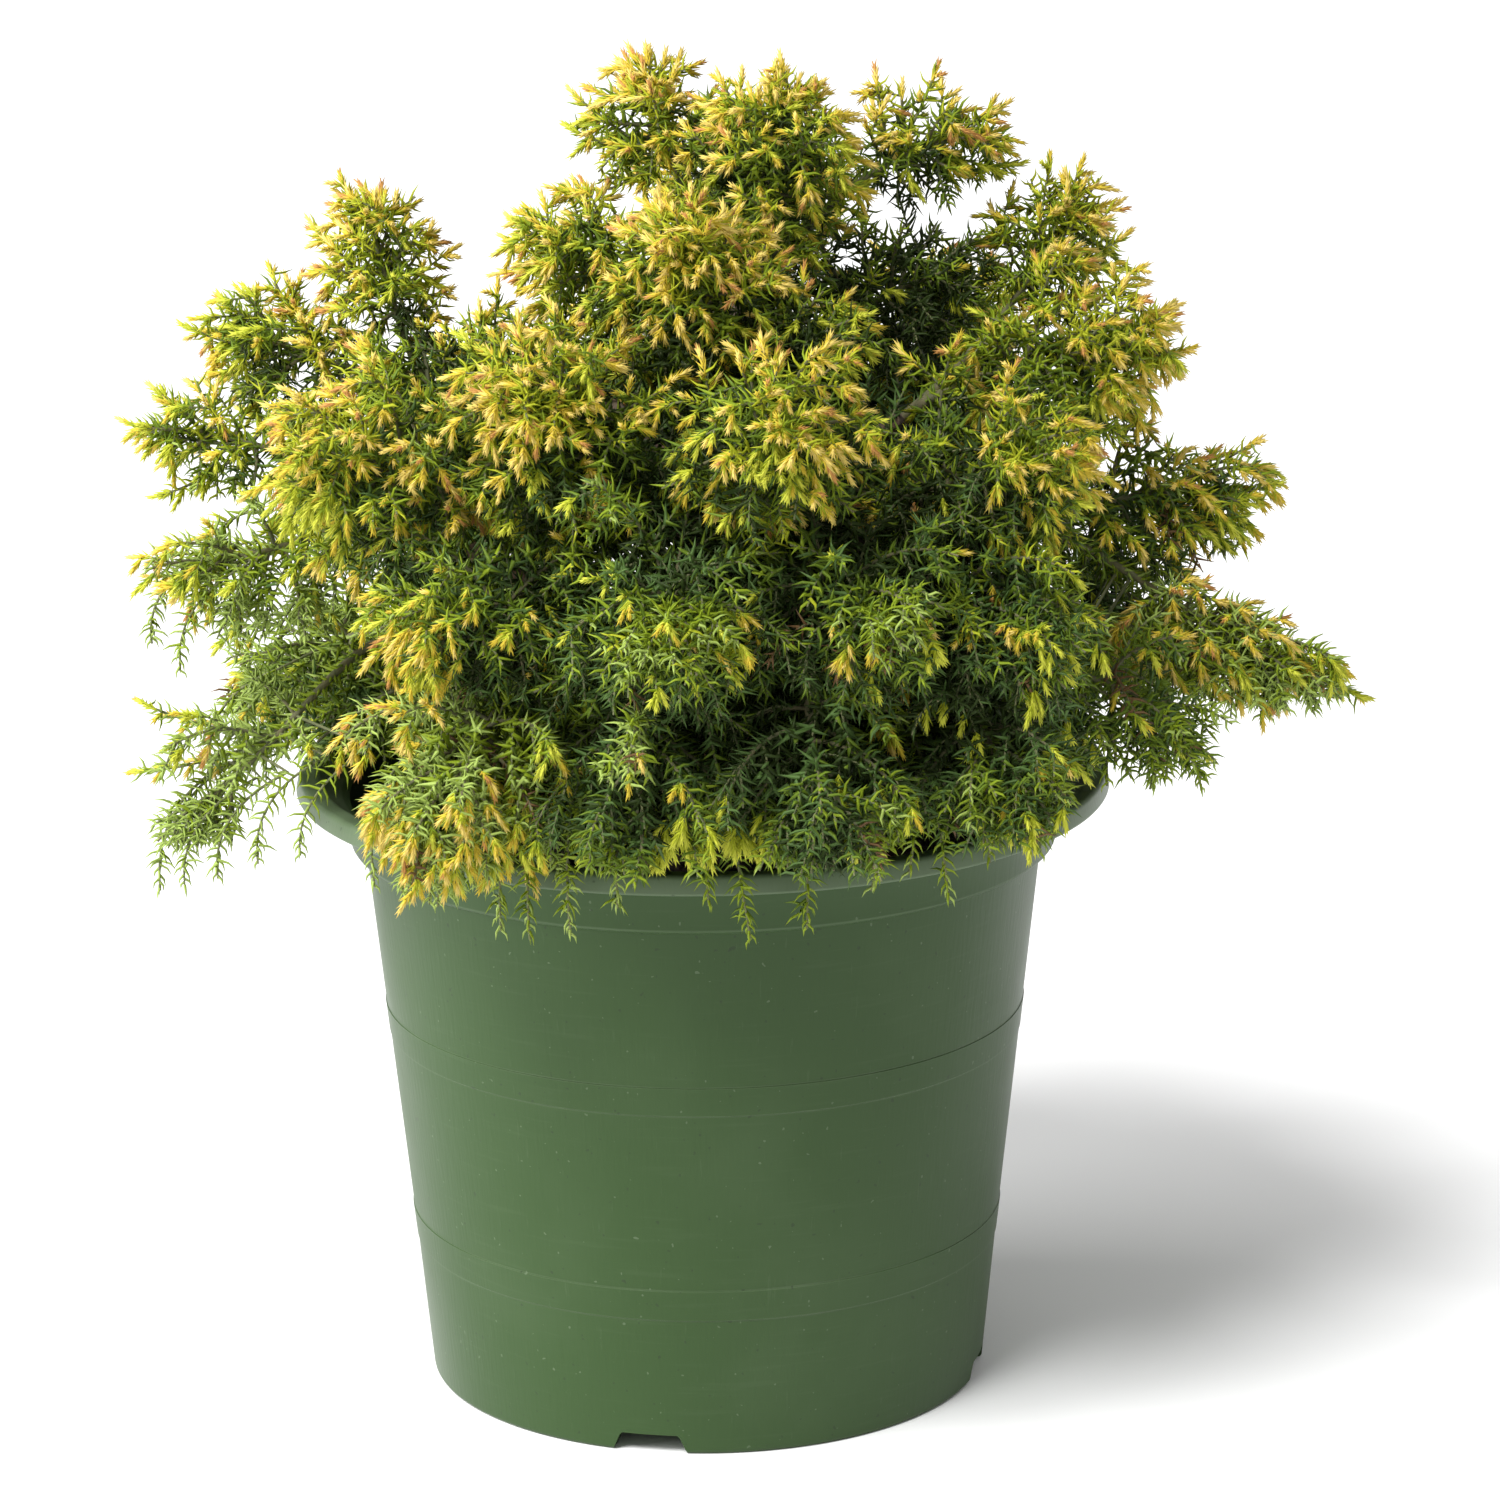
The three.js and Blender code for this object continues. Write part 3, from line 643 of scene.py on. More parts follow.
# How much each mass hangs, and the way its shoots bend as they grow
DROOP = np.clip((370 - HEARTS[:, 2]) / 190, -0.2, 0.7)
FLOW = unit(AXES + np.stack([0 * DROOP, 0 * DROOP, -0.35 - 0.5 * DROOP], -1))
# How far a mass's space may run into another's, and how much it narrows to its end
SPACE_MARGIN = -0.28
POINTED = 0.32

# The lowest height of the masses that hang by the pot, and how full of twigs some masses are
OVER_THE_RIM = ("front_hanging_left", "front_hanging_right", "front_right_low", "right_hanging",
                "back_low_left", "back_low_right", "right_back_side")
LOWEST_BY_NAME = {**dict.fromkeys(OVER_THE_RIM, 226.0), "front_left_cushion": 209.0, "left_hanging": 205.0}
LOWEST = np.array([LOWEST_BY_NAME.get(name, 0.0) for name in MASS_NAMES])
FULLNESS = {"left_hanging": 0.6, "left_back_side": 0.7, "left_side": 0.8, "right_hanging": 0.5,
            "right_arm": 2.0}
# How far shoots keep off the limbs and the pot, and the pot's inner radius over the mix
LIMB_CLEARANCE = 2.0
POT_CLEARANCE = 1.5
WALL_RADIUS_AT_MIX = 117.5
# Where the pot's lip shows under the crown at the left front: azimuths, reach and height
BARE_LIP = ((190, 226), 165, 234)


def depths(points):
    """How far out each point lies in each mass's space, which narrows to its end: 0 at its
    heart and 1 at its skin."""
    offset = points[:, None] - HEARTS
    along = np.einsum("pmk,mk->pm", offset, AXES)
    sideways = np.sqrt(np.maximum(0, (offset ** 2).sum(-1) - along ** 2)) / HALF_WIDE
    along /= HALF_LONG
    return np.hypot(along, sideways * (1 + POINTED * np.clip(along, 0, 1)))


def over_bare_lip(points, reach):
    (first, last), furthest, highest = BARE_LIP
    azimuth = np.degrees(np.arctan2(points[:, 1], points[:, 0])) % 360
    return (azimuth > first) & (azimuth < last) & (reach < furthest) & (points[:, 2] < highest)


def clear_of_pot(points):
    reach = np.hypot(points[:, 0], points[:, 1])
    above = points[:, 2] > POT_HIGH.z / MM + POT_CLEARANCE
    outside = reach > POT_HIGH.x / MM + POT_CLEARANCE
    within = (reach < WALL_RADIUS_AT_MIX) & (points[:, 2] > MIX_TOP + POT_CLEARANCE)
    return (above | outside | within) & ~over_bare_lip(points, reach)


def clear_of_limbs(points):
    wood, radii = limb_points()
    near = [np.min(np.linalg.norm(part[:, None] - wood, axis=-1) - radii, axis=1)
            for part in np.array_split(points, max(1, len(points) // 2000))]
    return np.concatenate(near) > LIMB_CLEARANCE


def in_own_space(points, owner, skin):
    depth = depths(points)
    rows = np.arange(len(points))
    own = depth[rows, owner]
    depth[rows, owner] = np.inf
    return ((own <= skin) & (depth.min(1) > own + SPACE_MARGIN) & (points[:, 2] > LOWEST[owner])
            & clear_of_pot(points) & clear_of_limbs(points))


def grow(feet, ways, bends, owner, lengths, skin, step, shortest):
    """Follows each shoot from its foot until its length is grown or its mass's space, where
    it has a skin, ends, and keeps those that grow longer than the shortest."""
    steps = int(np.ceil(lengths.max() / step))
    paths = np.repeat(feet[:, None], steps + 1, axis=1)
    heading = ways.copy()
    alive = np.ones(len(feet), bool)
    grown = np.zeros(len(feet), int)
    for k in range(1, steps + 1):
        heading = unit(heading + bends * step)
        ahead = paths[:, k - 1] + heading * step
        free = clear_of_pot(ahead) if skin is None else in_own_space(ahead, owner, skin)
        alive &= (k * step <= lengths) & free
        grown += alive
        paths[:, k:] = np.where(alive, ahead.T, paths[:, k - 1].T).T[:, None]
    return Growth(paths, grown * step, owner, step, shortest)


# Growth of the crown

# Radii at the root and the tip, steps along the paths, and the longest and shortest that grow
STEM_RADII = (2.0, 0.6)
TWIG_RADII = (0.85, 0.4)
SHOOT_RADII = (0.5, 0.35)
INNER_TWIG_RADII = (1.0, 0.5)
LONG_SHOOT_RADII = (0.6, 0.4)
STEM_STEPS = 24
TWIG_STEP = 3.0
SHOOT_STEP = 2.0
LONGEST_TWIG = 90.0
LONGEST_SHOOT = 120
SHORTEST_TWIG = 9
SHORTEST_SHOOT = 4
SHORTEST_TUFT = 3
SHORTEST_LONG_SHOOT = 8
# Twigs: where on the stem the first one is, how deep in its mass the last one is, and the
# widest angle between a twig and its stem
FIRST_TWIG = 0.94
LAST_TWIG_DEPTH = 0.6
WIDEST_LEAN = 128
# The share of dead shoots, and the height above which none are dead
DEAD_SHARE = 0.012
DEAD_BELOW = 300
# The bare length at a twig's or stem's root; the stems are dressed again, from nearer the root
BARE_TWIG = 3.0
BARE_STEM = 14.0
BARE_STEM_AGAIN = 8.0

# Sprays of young tips that stand out: azimuth, reach and height of the middle, size, ripeness
BRIGHT_SPRAYS = (
    (272, 156, 226, 15, 0.12), (265, 190, 320, 17, 0.40), (223, 186, 266, 20, 0.55),
    (232, 182, 281, 18, 0.60), (240, 178, 292, 14, 0.62), (246, 158, 233, 15, 0.20),
    (264, 156, 233, 12, 0.15), (289, 158, 236, 12, 0.30), (315, 158, 247, 13, 0.15),
    (208, 172, 313, 16, 0.65), (229, 180, 319, 16, 0.50), (300, 160, 262, 12, 0.20),
    (278, 180, 300, 11, 0.30), (252, 172, 262, 12, 0.25),
)


class Growth:
    """Shoots of one kind: their paths, the mass each is in, and how young and lit each one is."""

    def __init__(self, paths, lengths, owner, step, shortest):
        kept = lengths > shortest
        self.grown_from = np.flatnonzero(kept)
        self.paths, self.lengths, self.owner, self.step = paths[kept], lengths[kept], owner[kept], step
        self.count = len(self.lengths)
        self.tips, _ = self.at(np.arange(self.count), self.lengths)

    def at(self, index, distance):
        """Points on the shoots at the given distances, and the way each runs there."""
        k = np.minimum((distance / self.step).astype(int), self.paths.shape[1] - 2)
        k = np.minimum(k, np.maximum(0, np.ceil(self.lengths[index] / self.step).astype(int) - 1))
        share = (distance / self.step - k)[:, None]
        low, high = self.paths[index, k], self.paths[index, k + 1]
        return low + (high - low) * share, unit(high - low)

    def judge(self, chance):
        """Works out which shoots are lit, which are golden, and how light the greens of the others are:
        lighter where lit and darker where shaded, as painted light and shade.
        """
        depth = depths(self.tips)
        rows = np.arange(self.count)
        own = depth[rows, self.owner].copy()
        depth[rows, self.owner] = np.inf
        self.out = smooth(own, 0.35, 0.9)
        self.open_air = smooth(depth.min(1), 0.8, 1.25)
        upward = (self.tips[:, 2] - HEARTS[self.owner, 2]) / HALF_WIDE[self.owner]
        lit = self.out * blend(0.3, 1, self.open_air)
        patches = cloud(self.tips, 0.035)
        gold = GOLD_SHARE[self.owner]
        likely = gold * 1.35 * smooth(own, 0.4, 0.75) * smooth(upward, -1.0, -0.1)
        likely = likely * blend(0.55, 1, self.open_air) + 0.5 * patches * gold
        self.golden = chance.random(self.count) < likely
        self.warm = chance.random(self.count) < smooth(HEARTS[self.owner, 2] + 30 * upward, 285, 385)
        # Painted light and shade: the tone is lighter for lit and upward-facing shoots and darker for shaded
        # ones, besides patches, chance and the mass's own shift
        self.tone = (0.14 + 0.40 * lit + 0.12 * upward + 0.4 * patches + SHADE_AND_TONE_SHIFT[self.owner]
                     + chance.about(self.count, 0.22))
        self.ripeness = (0.46 + 0.45 * upward + 0.5 * (gold - 0.6) + 0.9 * patches
                         + chance.about(self.count, 0.6))
        self.dead = (chance.random(self.count) < DEAD_SHARE) & (self.tips[:, 2] < DEAD_BELOW)
        for azimuth, reach, height, size, ripeness in BRIGHT_SPRAYS:
            bright = np.linalg.norm(self.tips - place(azimuth, reach, height), axis=1) < size
            self.golden |= bright
            self.ripeness = np.where(bright, ripeness + 0.5 * (self.ripeness - 0.5), self.ripeness)


def stem_start(mass):
    """Where a mass's stem leaves what carries it, and the way it sets out."""
    carrier = MASSES[mass][5]
    heart = HEARTS[mass]
    if isinstance(carrier, int):
        point = trunk_point(carrier)
        return point, unit(heart - point)
    path = trunk_path() if carrier == "tip" else bough_path(carrier)
    return path[-1], unit(path[-1] - path[-2])


def stem_curve(mass, share):
    """Points on a mass's stem, which runs from its carrier through its heart."""
    start, way = stem_start(mass)
    length = np.linalg.norm(HEARTS[mass] - start)
    end = HEARTS[mass] + AXES[mass] * HALF_LONG[mass] * 0.55
    first = start + way * 0.35 * length
    second = HEARTS[mass] - AXES[mass] * 0.25 * length
    share = np.asarray(share, float)[..., None]
    rest = 1 - share
    return (start * rest ** 3 + 3 * first * share * rest ** 2
            + 3 * second * share ** 2 * rest + end * share ** 3)


def spread_feet(starts, ends, spacing):
    """Evenly spaced places on many stretches: the stretch, how far along, and its turn."""
    spacing = np.broadcast_to(spacing, starts.shape)
    counts = np.maximum(0, np.floor((ends - starts) / spacing)).astype(int)
    index = np.repeat(np.arange(len(counts)), counts)
    order = np.arange(len(index)) - np.repeat(np.cumsum(counts) - counts, counts)
    return index, starts[index] + (order + 0.5) * spacing[index], order


def grow_stems():
    """The stems as shoots, in even steps."""
    masses = np.arange(len(MASSES))
    paths = np.stack([stem_curve(mass, np.linspace(0, 1, 41)) for mass in masses])
    lengths = np.linalg.norm(np.diff(paths, axis=1), axis=-1).sum(1)
    steps = np.arange(0, lengths.max() + 2 * SHOOT_STEP, SHOOT_STEP)
    even = np.stack([stem_curve(mass, np.minimum(1, steps / lengths[mass])) for mass in masses])
    return Growth(even, lengths, masses, SHOOT_STEP, 0)


def grow_twigs(settings, chance):
    """The twigs leave each stem in a spiral, from near its end back towards its root."""
    feet, ways, owner = [], [], []
    shares = np.linspace(0, 1, 60)
    for mass in range(len(MASSES)):
        count = round(settings.twig_density * HALF_WIDE[mass] * FULLNESS.get(MASS_NAMES[mass], 1))
        curve = stem_curve(mass, shares)
        inside = shares[np.argmax(depths(curve)[:, mass] < LAST_TWIG_DEPTH)]
        share = (np.arange(count) + 0.5) / count
        along = blend(FIRST_TWIG, inside, share)
        tangent = unit(stem_curve(mass, along + 0.01) - stem_curve(mass, along - 0.01))
        spread = np.degrees(np.arccos(1 - (1 - math.cos(math.radians(WIDEST_LEAN))) * share))
        turn = GOLDEN_ANGLE * (np.arange(count) + 101 + 37 * mass)
        way = leaning(tangent, spread + chance.about(count, 16), turn)
        way[:, 2] -= DROOP[mass] * 0.5
        feet.append(stem_curve(mass, along))
        ways.append(unit(way))
        owner.append(np.full(count, mass))
    feet, ways, owner = np.vstack(feet), np.vstack(ways), np.concatenate(owner)
    bends = 0.020 * FLOW[owner]
    bends[:, 2] -= 0.004 + 0.010 * DROOP[owner]
    reaches = feet + ways * 25
    fullness = 0.55 + 1.1 * cloud(reaches, 0.06) + chance.about(len(feet), 0.4)
    skin = blend(0.72, 1.0, np.clip(fullness, 0, 1))
    lengths = np.full(len(feet), LONGEST_TWIG)
    return grow(feet, ways, bends, owner, lengths, skin, TWIG_STEP, SHORTEST_TWIG)


def grow_shoots(settings, chance, twigs):
    """Side shoots leave the twigs in a spiral, shorter towards the tip, and arch over."""
    index, distance, order = spread_feet(
        np.full(twigs.count, BARE_TWIG), twigs.lengths - 1, settings.shoot_spacing / MM)
    share = distance / twigs.lengths[index]
    feet, tangent = twigs.at(index, distance)
    angle = blend(66, 40, share) + chance.about(len(index), 20)
    turn = GOLDEN_ANGLE * order + 360 * chance.random(twigs.count)[index]
    ways = leaning(tangent, angle, turn)
    owner = twigs.owner[index]
    limp = chance.between(len(index), 0.4, 1.5)
    ways[:, 2] -= limp * (0.25 + 0.25 * np.maximum(0, DROOP[owner]))
    longest = settings.shoot_length / MM
    wanted = blend(longest, 0.5 * longest, share) * chance.between(len(index), 0.55, 1.15)
    bends = tangent * 0.016 + 0.016 * FLOW[owner]
    bends[:, 2] -= limp * (0.034 + 0.022 * DROOP[owner])
    skin = blend(0.88, 1.04 + 0.10 * np.maximum(0, DROOP[owner]), chance.random(len(index)))
    return grow(feet, unit(ways), bends, owner, wanted, skin, SHOOT_STEP, SHORTEST_SHOOT)


def grow_tufts(settings, chance, shoots, skin=1.15, sparse=None):
    """Short side tufts sit on the outer part of a shoot in two loose rows, pressed forward."""
    sparse = np.where(shoots.golden, 1.0, 1.9) if sparse is None else sparse
    index, distance, order = spread_feet(
        shoots.lengths * 0.25, shoots.lengths - 0.5, settings.tuft_spacing / MM * sparse)
    feet, tangent = shoots.at(index, distance)
    angle = 46 + chance.about(len(index), 16)
    turn = 180 * order + chance.about(len(index), 80) + 60 * chance.random(shoots.count)[index]
    ways = leaning(tangent, angle, turn)
    ways[:, 2] -= 0.40
    owner = shoots.owner[index]
    wanted = settings.tuft_length / MM * chance.between(len(index), 0.6, 1.1)
    bends = tangent * 0.03
    bends[:, 2] -= 0.035
    tufts = grow(feet, unit(ways), bends, owner, wanted, skin, SHOOT_STEP, SHORTEST_TUFT)
    tufts.parent = index[tufts.grown_from]
    return tufts


# Inner twigs: a low tier that reaches to the pot's lip and one above it, each with its azimuths
# and the reach and height of a twig's start, middle and tip
TIERS = (
    ([azimuth for azimuth in range(0, 360, 10) if not 195 < azimuth < 230],
     (40, 230), (92, 262), (133, 231)),
    (range(5, 360, 18), (24, 300), (66, 336), (100, 322)),
)
TIER_STEPS = 30
TIER_SWAY = 8
# The spacing and the greatest length of the inner shoots, before chance makes them vary
INNER_SPACING = 3.2
INNER_LENGTH = 34.0


def tier_paths():
    """The inner twigs, whose middles lie a little higher or lower from one to the next."""
    paths = []
    for azimuths, start, (reach, height), tip in TIERS:
        for azimuth in azimuths:
            middle = place(azimuth, reach, height + TIER_SWAY * math.sin(azimuth))
            paths.append(bezier(place(azimuth, *start), middle, place(azimuth, *tip), TIER_STEPS))
    return paths


def grow_inner(chance):
    """Shaded shoots that clothe the boughs, the trunk and the low twigs between the masses."""
    feet, ways, lengths = [], [], []
    carriers = [(bough_path(name), 0.3, 1.0) for name in BOUGHS] + [(trunk_path(), 0.25, 0.97)]
    carriers += [(path, 0.2, 1.0) for path in tier_paths()]
    for path, first, last in carriers:
        along = run(path)
        stops = np.arange(first * along[-1], last * along[-1], INNER_SPACING)
        tangent = unit(sampled(stops, along, np.gradient(path, axis=0)))
        spread = 52 + 40 * chance.random(len(stops))
        feet.append(sampled(stops, along, path))
        ways.append(leaning(tangent, spread, GOLDEN_ANGLE * np.arange(len(stops)) + 50))
        lengths.append(INNER_LENGTH * chance.between(len(stops), 0.6, 1.2))
    feet, ways, lengths = np.vstack(feet), np.vstack(ways), np.concatenate(lengths)
    owner = np.linalg.norm(feet[:, None] - HEARTS, axis=-1).argmin(1)
    bends = np.zeros_like(feet)
    bends[:, 2] -= 0.012
    return grow(feet, ways, bends, owner, lengths, None, SHOOT_STEP, SHORTEST_LONG_SHOOT)


# Strands that hang down over the lip and from the sides: azimuth, reach and height of each tip
STRANDS = {
    "front_left_cushion": ((226, 154, 205), (231, 152, 214), (236, 153, 203), (240, 155, 211)),
    "front_hanging_left": ((245, 153, 198), (249, 154, 197), (254, 152, 199), (260, 153, 209)),
    "front_hanging_right": ((271, 152, 210), (276, 154, 199), (283, 152, 201), (291, 153, 212)),
    "front_right_low": ((296, 153, 216), (301, 156, 206), (308, 153, 215), (317, 152, 213)),
    "right_hanging": ((334, 166, 226), (340, 178, 222), (345, 170, 226)),
    "right_arm": ((351, 196, 240), (356, 186, 243), (349, 156, 222), (354, 162, 220), (359, 158, 218),
                  (4, 160, 221), (9, 155, 217)),
    "left_hanging": ((195, 190, 186), (199, 184, 190), (203, 176, 196), (192, 182, 197), (207, 166, 203),
                     (189, 172, 196), (197, 172, 203), (212, 157, 208)),
    "left_back_side": ((176, 172, 208), (168, 166, 204), (160, 160, 206), (152, 156, 210)),
    "left_side": ((190, 188, 268), (200, 184, 266)),
    "back_low_left": ((134, 154, 199), (128, 157, 204), (119, 153, 196), (112, 155, 202)),
    "back_low_right": ((88, 153, 198), (80, 155, 204), (71, 153, 196), (63, 156, 203)),
    "right_back_side": ((44, 154, 202), (33, 157, 199), (24, 160, 204), (14, 162, 208)),
}


# Leaders that stand out of the crown's outline: azimuth, reach and height of each tip
LEADERS = {
    "left_peak": ((176, 121, 421), (175, 90, 404), (177, 132, 406), (175, 84, 382)),
    "left_inner": ((189, 68, 388), (196, 76, 382)),
    "left_shoulder": ((172, 148, 388), (174, 178, 368), (173, 165, 378)),
    "left_arm": ((183, 196, 341), (183, 186, 353), (183, 186, 314)),
    "left_side": ((194, 191, 295), (194, 186, 304)),
    "left_hanging": ((194, 197, 228), (195, 195, 253)),
    "top_left_head": ((167, 46, 437), (167, 44, 449), (149, 20, 463)),
    "top_centre_head": ((323, 33, 462), (289, 22, 459)),
    "top_right_head": ((15, 62, 455), (11, 83, 456), (9, 107, 443), (8, 112, 422)),
    "upper_left_front": ((219, 80, 417), (212, 76, 408)),
    "right_peak": ((8, 132, 423), (9, 121, 424), (7, 148, 398), (11, 101, 407)),
    "right_shoulder": ((350, 168, 367), (354, 160, 380)),
    "right_side": ((1, 191, 329), (1, 198, 313), (1, 187, 302)),
    "right_arm": ((354, 200, 272), (355, 228, 243)),
    "back_left": ((150, 190, 322), (128, 186, 330)),
    "back_middle": ((100, 182, 346), (88, 176, 352)),
    "back_right": ((58, 188, 330), (40, 190, 322)),
    "back_upper_left": ((132, 140, 352),),
    "back_upper_right": ((46, 150, 372),),
}


def even_path(curve):
    """The same curve in even steps, and its length."""
    along = run(curve)
    stops = np.minimum(np.arange(0, LONGEST_SHOOT, SHOOT_STEP), along[-1])
    return sampled(stops, along, curve), along[-1]


def grow_to_tips(table, bend):
    """Long shoots to the tips in a table; bend(mass, tip) gives the start, elbow and steps."""
    rows = [(MASS_NAMES.index(name), tip) for name, tips in table.items() for tip in tips]
    paths, lengths = [], []
    for mass, tip in rows:
        start, elbow, steps = bend(mass, tip)
        path, length = even_path(bezier(start, elbow, place(*tip), steps))
        paths.append(path)
        lengths.append(length)
    owner = np.array([mass for mass, _ in rows])
    return Growth(np.stack(paths), np.array(lengths), owner, SHOOT_STEP, SHORTEST_LONG_SHOOT)


def grow_leaders():
    """Strong shoots that leave a mass's stem and turn up at their tips."""

    def bend(mass, tip):
        start = stem_curve(mass, 0.7)
        return start, blend(start, place(*tip), 0.6) - (0, 0, 5), 40

    return grow_to_tips(LEADERS, bend)


def grow_strands(chance):
    """Long shoots that hang from the lowest masses, clear of the pot's lip."""

    def bend(mass, tip):
        azimuth, reach, low = tip
        high = max(low + 30, HEARTS[mass, 2] - 0.1 * HALF_WIDE[mass])
        sway = chance.about(2, 5)
        start = place(azimuth + sway[0], reach - 26, high + 4)
        return start, place(azimuth + sway[1], reach + 3 + sway[1], high - 8), 60

    return grow_to_tips(STRANDS, bend)


def tint_rows(*rows):
    return np.array([[TINT_NAMES.index(name) for name in row] for row in rows])


# The greens of cool low shoots and of warm high ones, from the darkest to the lightest; a needle's place on
# this scale carries painted light and shade
GREEN_TINTS = tint_rows(
    ("deep_green", "blue_green", "mid_green", "leaf_green", "pale_green"),
    ("deep_green", "mid_green", "leaf_green", "lime", "lime"),
)
# The tints of young needles, from the foot of a tip to its end: one row for each ripeness and
# the last two for flushed tips
YOUNG_TINTS = tint_rows(
    ("lime", "lime", "young_lime", "young_lime"),
    ("leaf_green", "lime", "young_lime", "young_lime"),
    ("lime", "young_lime", "gold", "gold"),
    ("lime", "gold", "gold", "straw"),
    ("lime", "gold", "straw", "straw"),
    ("gold", "gold", "straw", "straw"),
    ("lime", "gold", "gold", "bronze"),
    ("gold", "straw", "bronze", "bronze"),
)
# The tints that take the slot of golden needles
GOLDEN_TINTS = ("lime", "young_lime", "gold", "straw", "bronze")


def green_tint(tone, warm):
    """The green tint for a tone from 0 to 1, which carries painted light and shade, of the cool low shoots
    or the warm high ones.
    """
    return GREEN_TINTS[warm.astype(int), np.clip((tone * 5).astype(int), 0, 4)]


# How far young needles reach back from a tip, their radius and their spacing
YOUNG_REACH = 6.8
YOUNG_GIRTH = 0.55
YOUNG_SPACING = 0.40
# How far a bent needle's middle stands off, and how much thicker it is, in its own radii
NEEDLE_BULGE = -1.3
NEEDLE_SWELL = 0.45


class Needles:
    """Feet, headings, sizes and tints of all needles, gathered shoot by shoot."""

    def __init__(self, settings, chance):
        self.settings = settings
        self.chance = chance
        self.parts = []

    def gathered(self):
        return [np.concatenate(column) for column in zip(*self.parts)]

    def dress_green(self, growth, bare=0.0):
        """Curved needles round each shoot, closer and more pressed at its tip."""
        chance = self.chance
        young = np.where(growth.golden, np.maximum(0.4 * growth.lengths, growth.lengths - YOUNG_REACH + 1),
                         growth.lengths)
        spacing = self.settings.needle_spacing / MM * blend(1.35, 1, growth.out)
        index, distance, order = spread_feet(np.full(growth.count, bare), young, spacing)
        share = distance / growth.lengths[index]
        foot, tangent = growth.at(index, distance)
        closing = smooth(share, 0.65, 1.0)
        heading = leaning(tangent, blend(58, 26, closing) + chance.about(len(index), 16),
                          GOLDEN_ANGLE * order + 90 * index)
        size = blend(1.0, 0.62, closing) * chance.between(len(index), 0.8, 1.1)
        girth = self.settings.needle_girth / MM * blend(1.7, 1, growth.out[index])
        # Each needle's tone carries its shoot's painted light and shade, lighter towards the tip
        tone = growth.tone[index] + 0.30 * smooth(share, 0.3, 1) - 0.10 + chance.about(len(index), 0.16)
        tint = green_tint(tone, growth.warm[index])
        tint = np.where(growth.dead[index], TINT_NAMES.index("brown"), tint)
        curved = (growth.out[index] > 0.45) & (growth.open_air[index] > 0.2)
        length = self.settings.needle_length / MM * size
        self.parts.append((foot, heading, tangent, girth, length, curved, tint, REGION[growth.owner[index]]))

    def dress_ends(self, growth):
        """Young needles pressed forward like a blunt brush round the end of each shoot."""
        chance = self.chance
        start = np.maximum(0.12, 1 - YOUNG_REACH / growth.lengths)
        index, distance, order = spread_feet(growth.lengths * start, growth.lengths + 0.4, YOUNG_SPACING)
        share = (distance / growth.lengths[index] - start[index]) / (1 - start[index])
        foot, tangent = growth.at(index, distance)
        angle = blend(32, 14, np.clip(share, 0, 1)) + chance.about(len(index), 10)
        heading = leaning(tangent, angle, GOLDEN_ANGLE * order + 60 * index)
        length = blend(4.8, 3.4, share) * chance.between(len(index), 0.8, 1.1)
        ripe = np.clip(growth.ripeness[index] * 6, 0, 5.99).astype(int)
        flushed = (growth.ripeness[index] > 0.75) & (growth.flush[index] < 0.3)
        ripe = np.where(flushed, np.where(growth.flush[index] < 0.1, 7, 6), ripe)
        fresh = np.clip((share + chance.about(len(index), 0.5)) * 4, 0, 3.99).astype(int)
        tint = YOUNG_TINTS[ripe, fresh]
        girth = np.full(len(index), YOUNG_GIRTH)
        self.parts.append((foot, heading, tangent, girth, length, np.zeros(len(index), bool),
                           tint, REGION[growth.owner[index]]))


def chosen(growth, which):
    """The part of a growth that is marked."""
    part = object.__new__(Growth)
    for name, value in vars(growth).items():
        whole = isinstance(value, np.ndarray) and len(value) == growth.count
        setattr(part, name, value[which] if whole else value)
    part.count = int(which.sum())
    return part


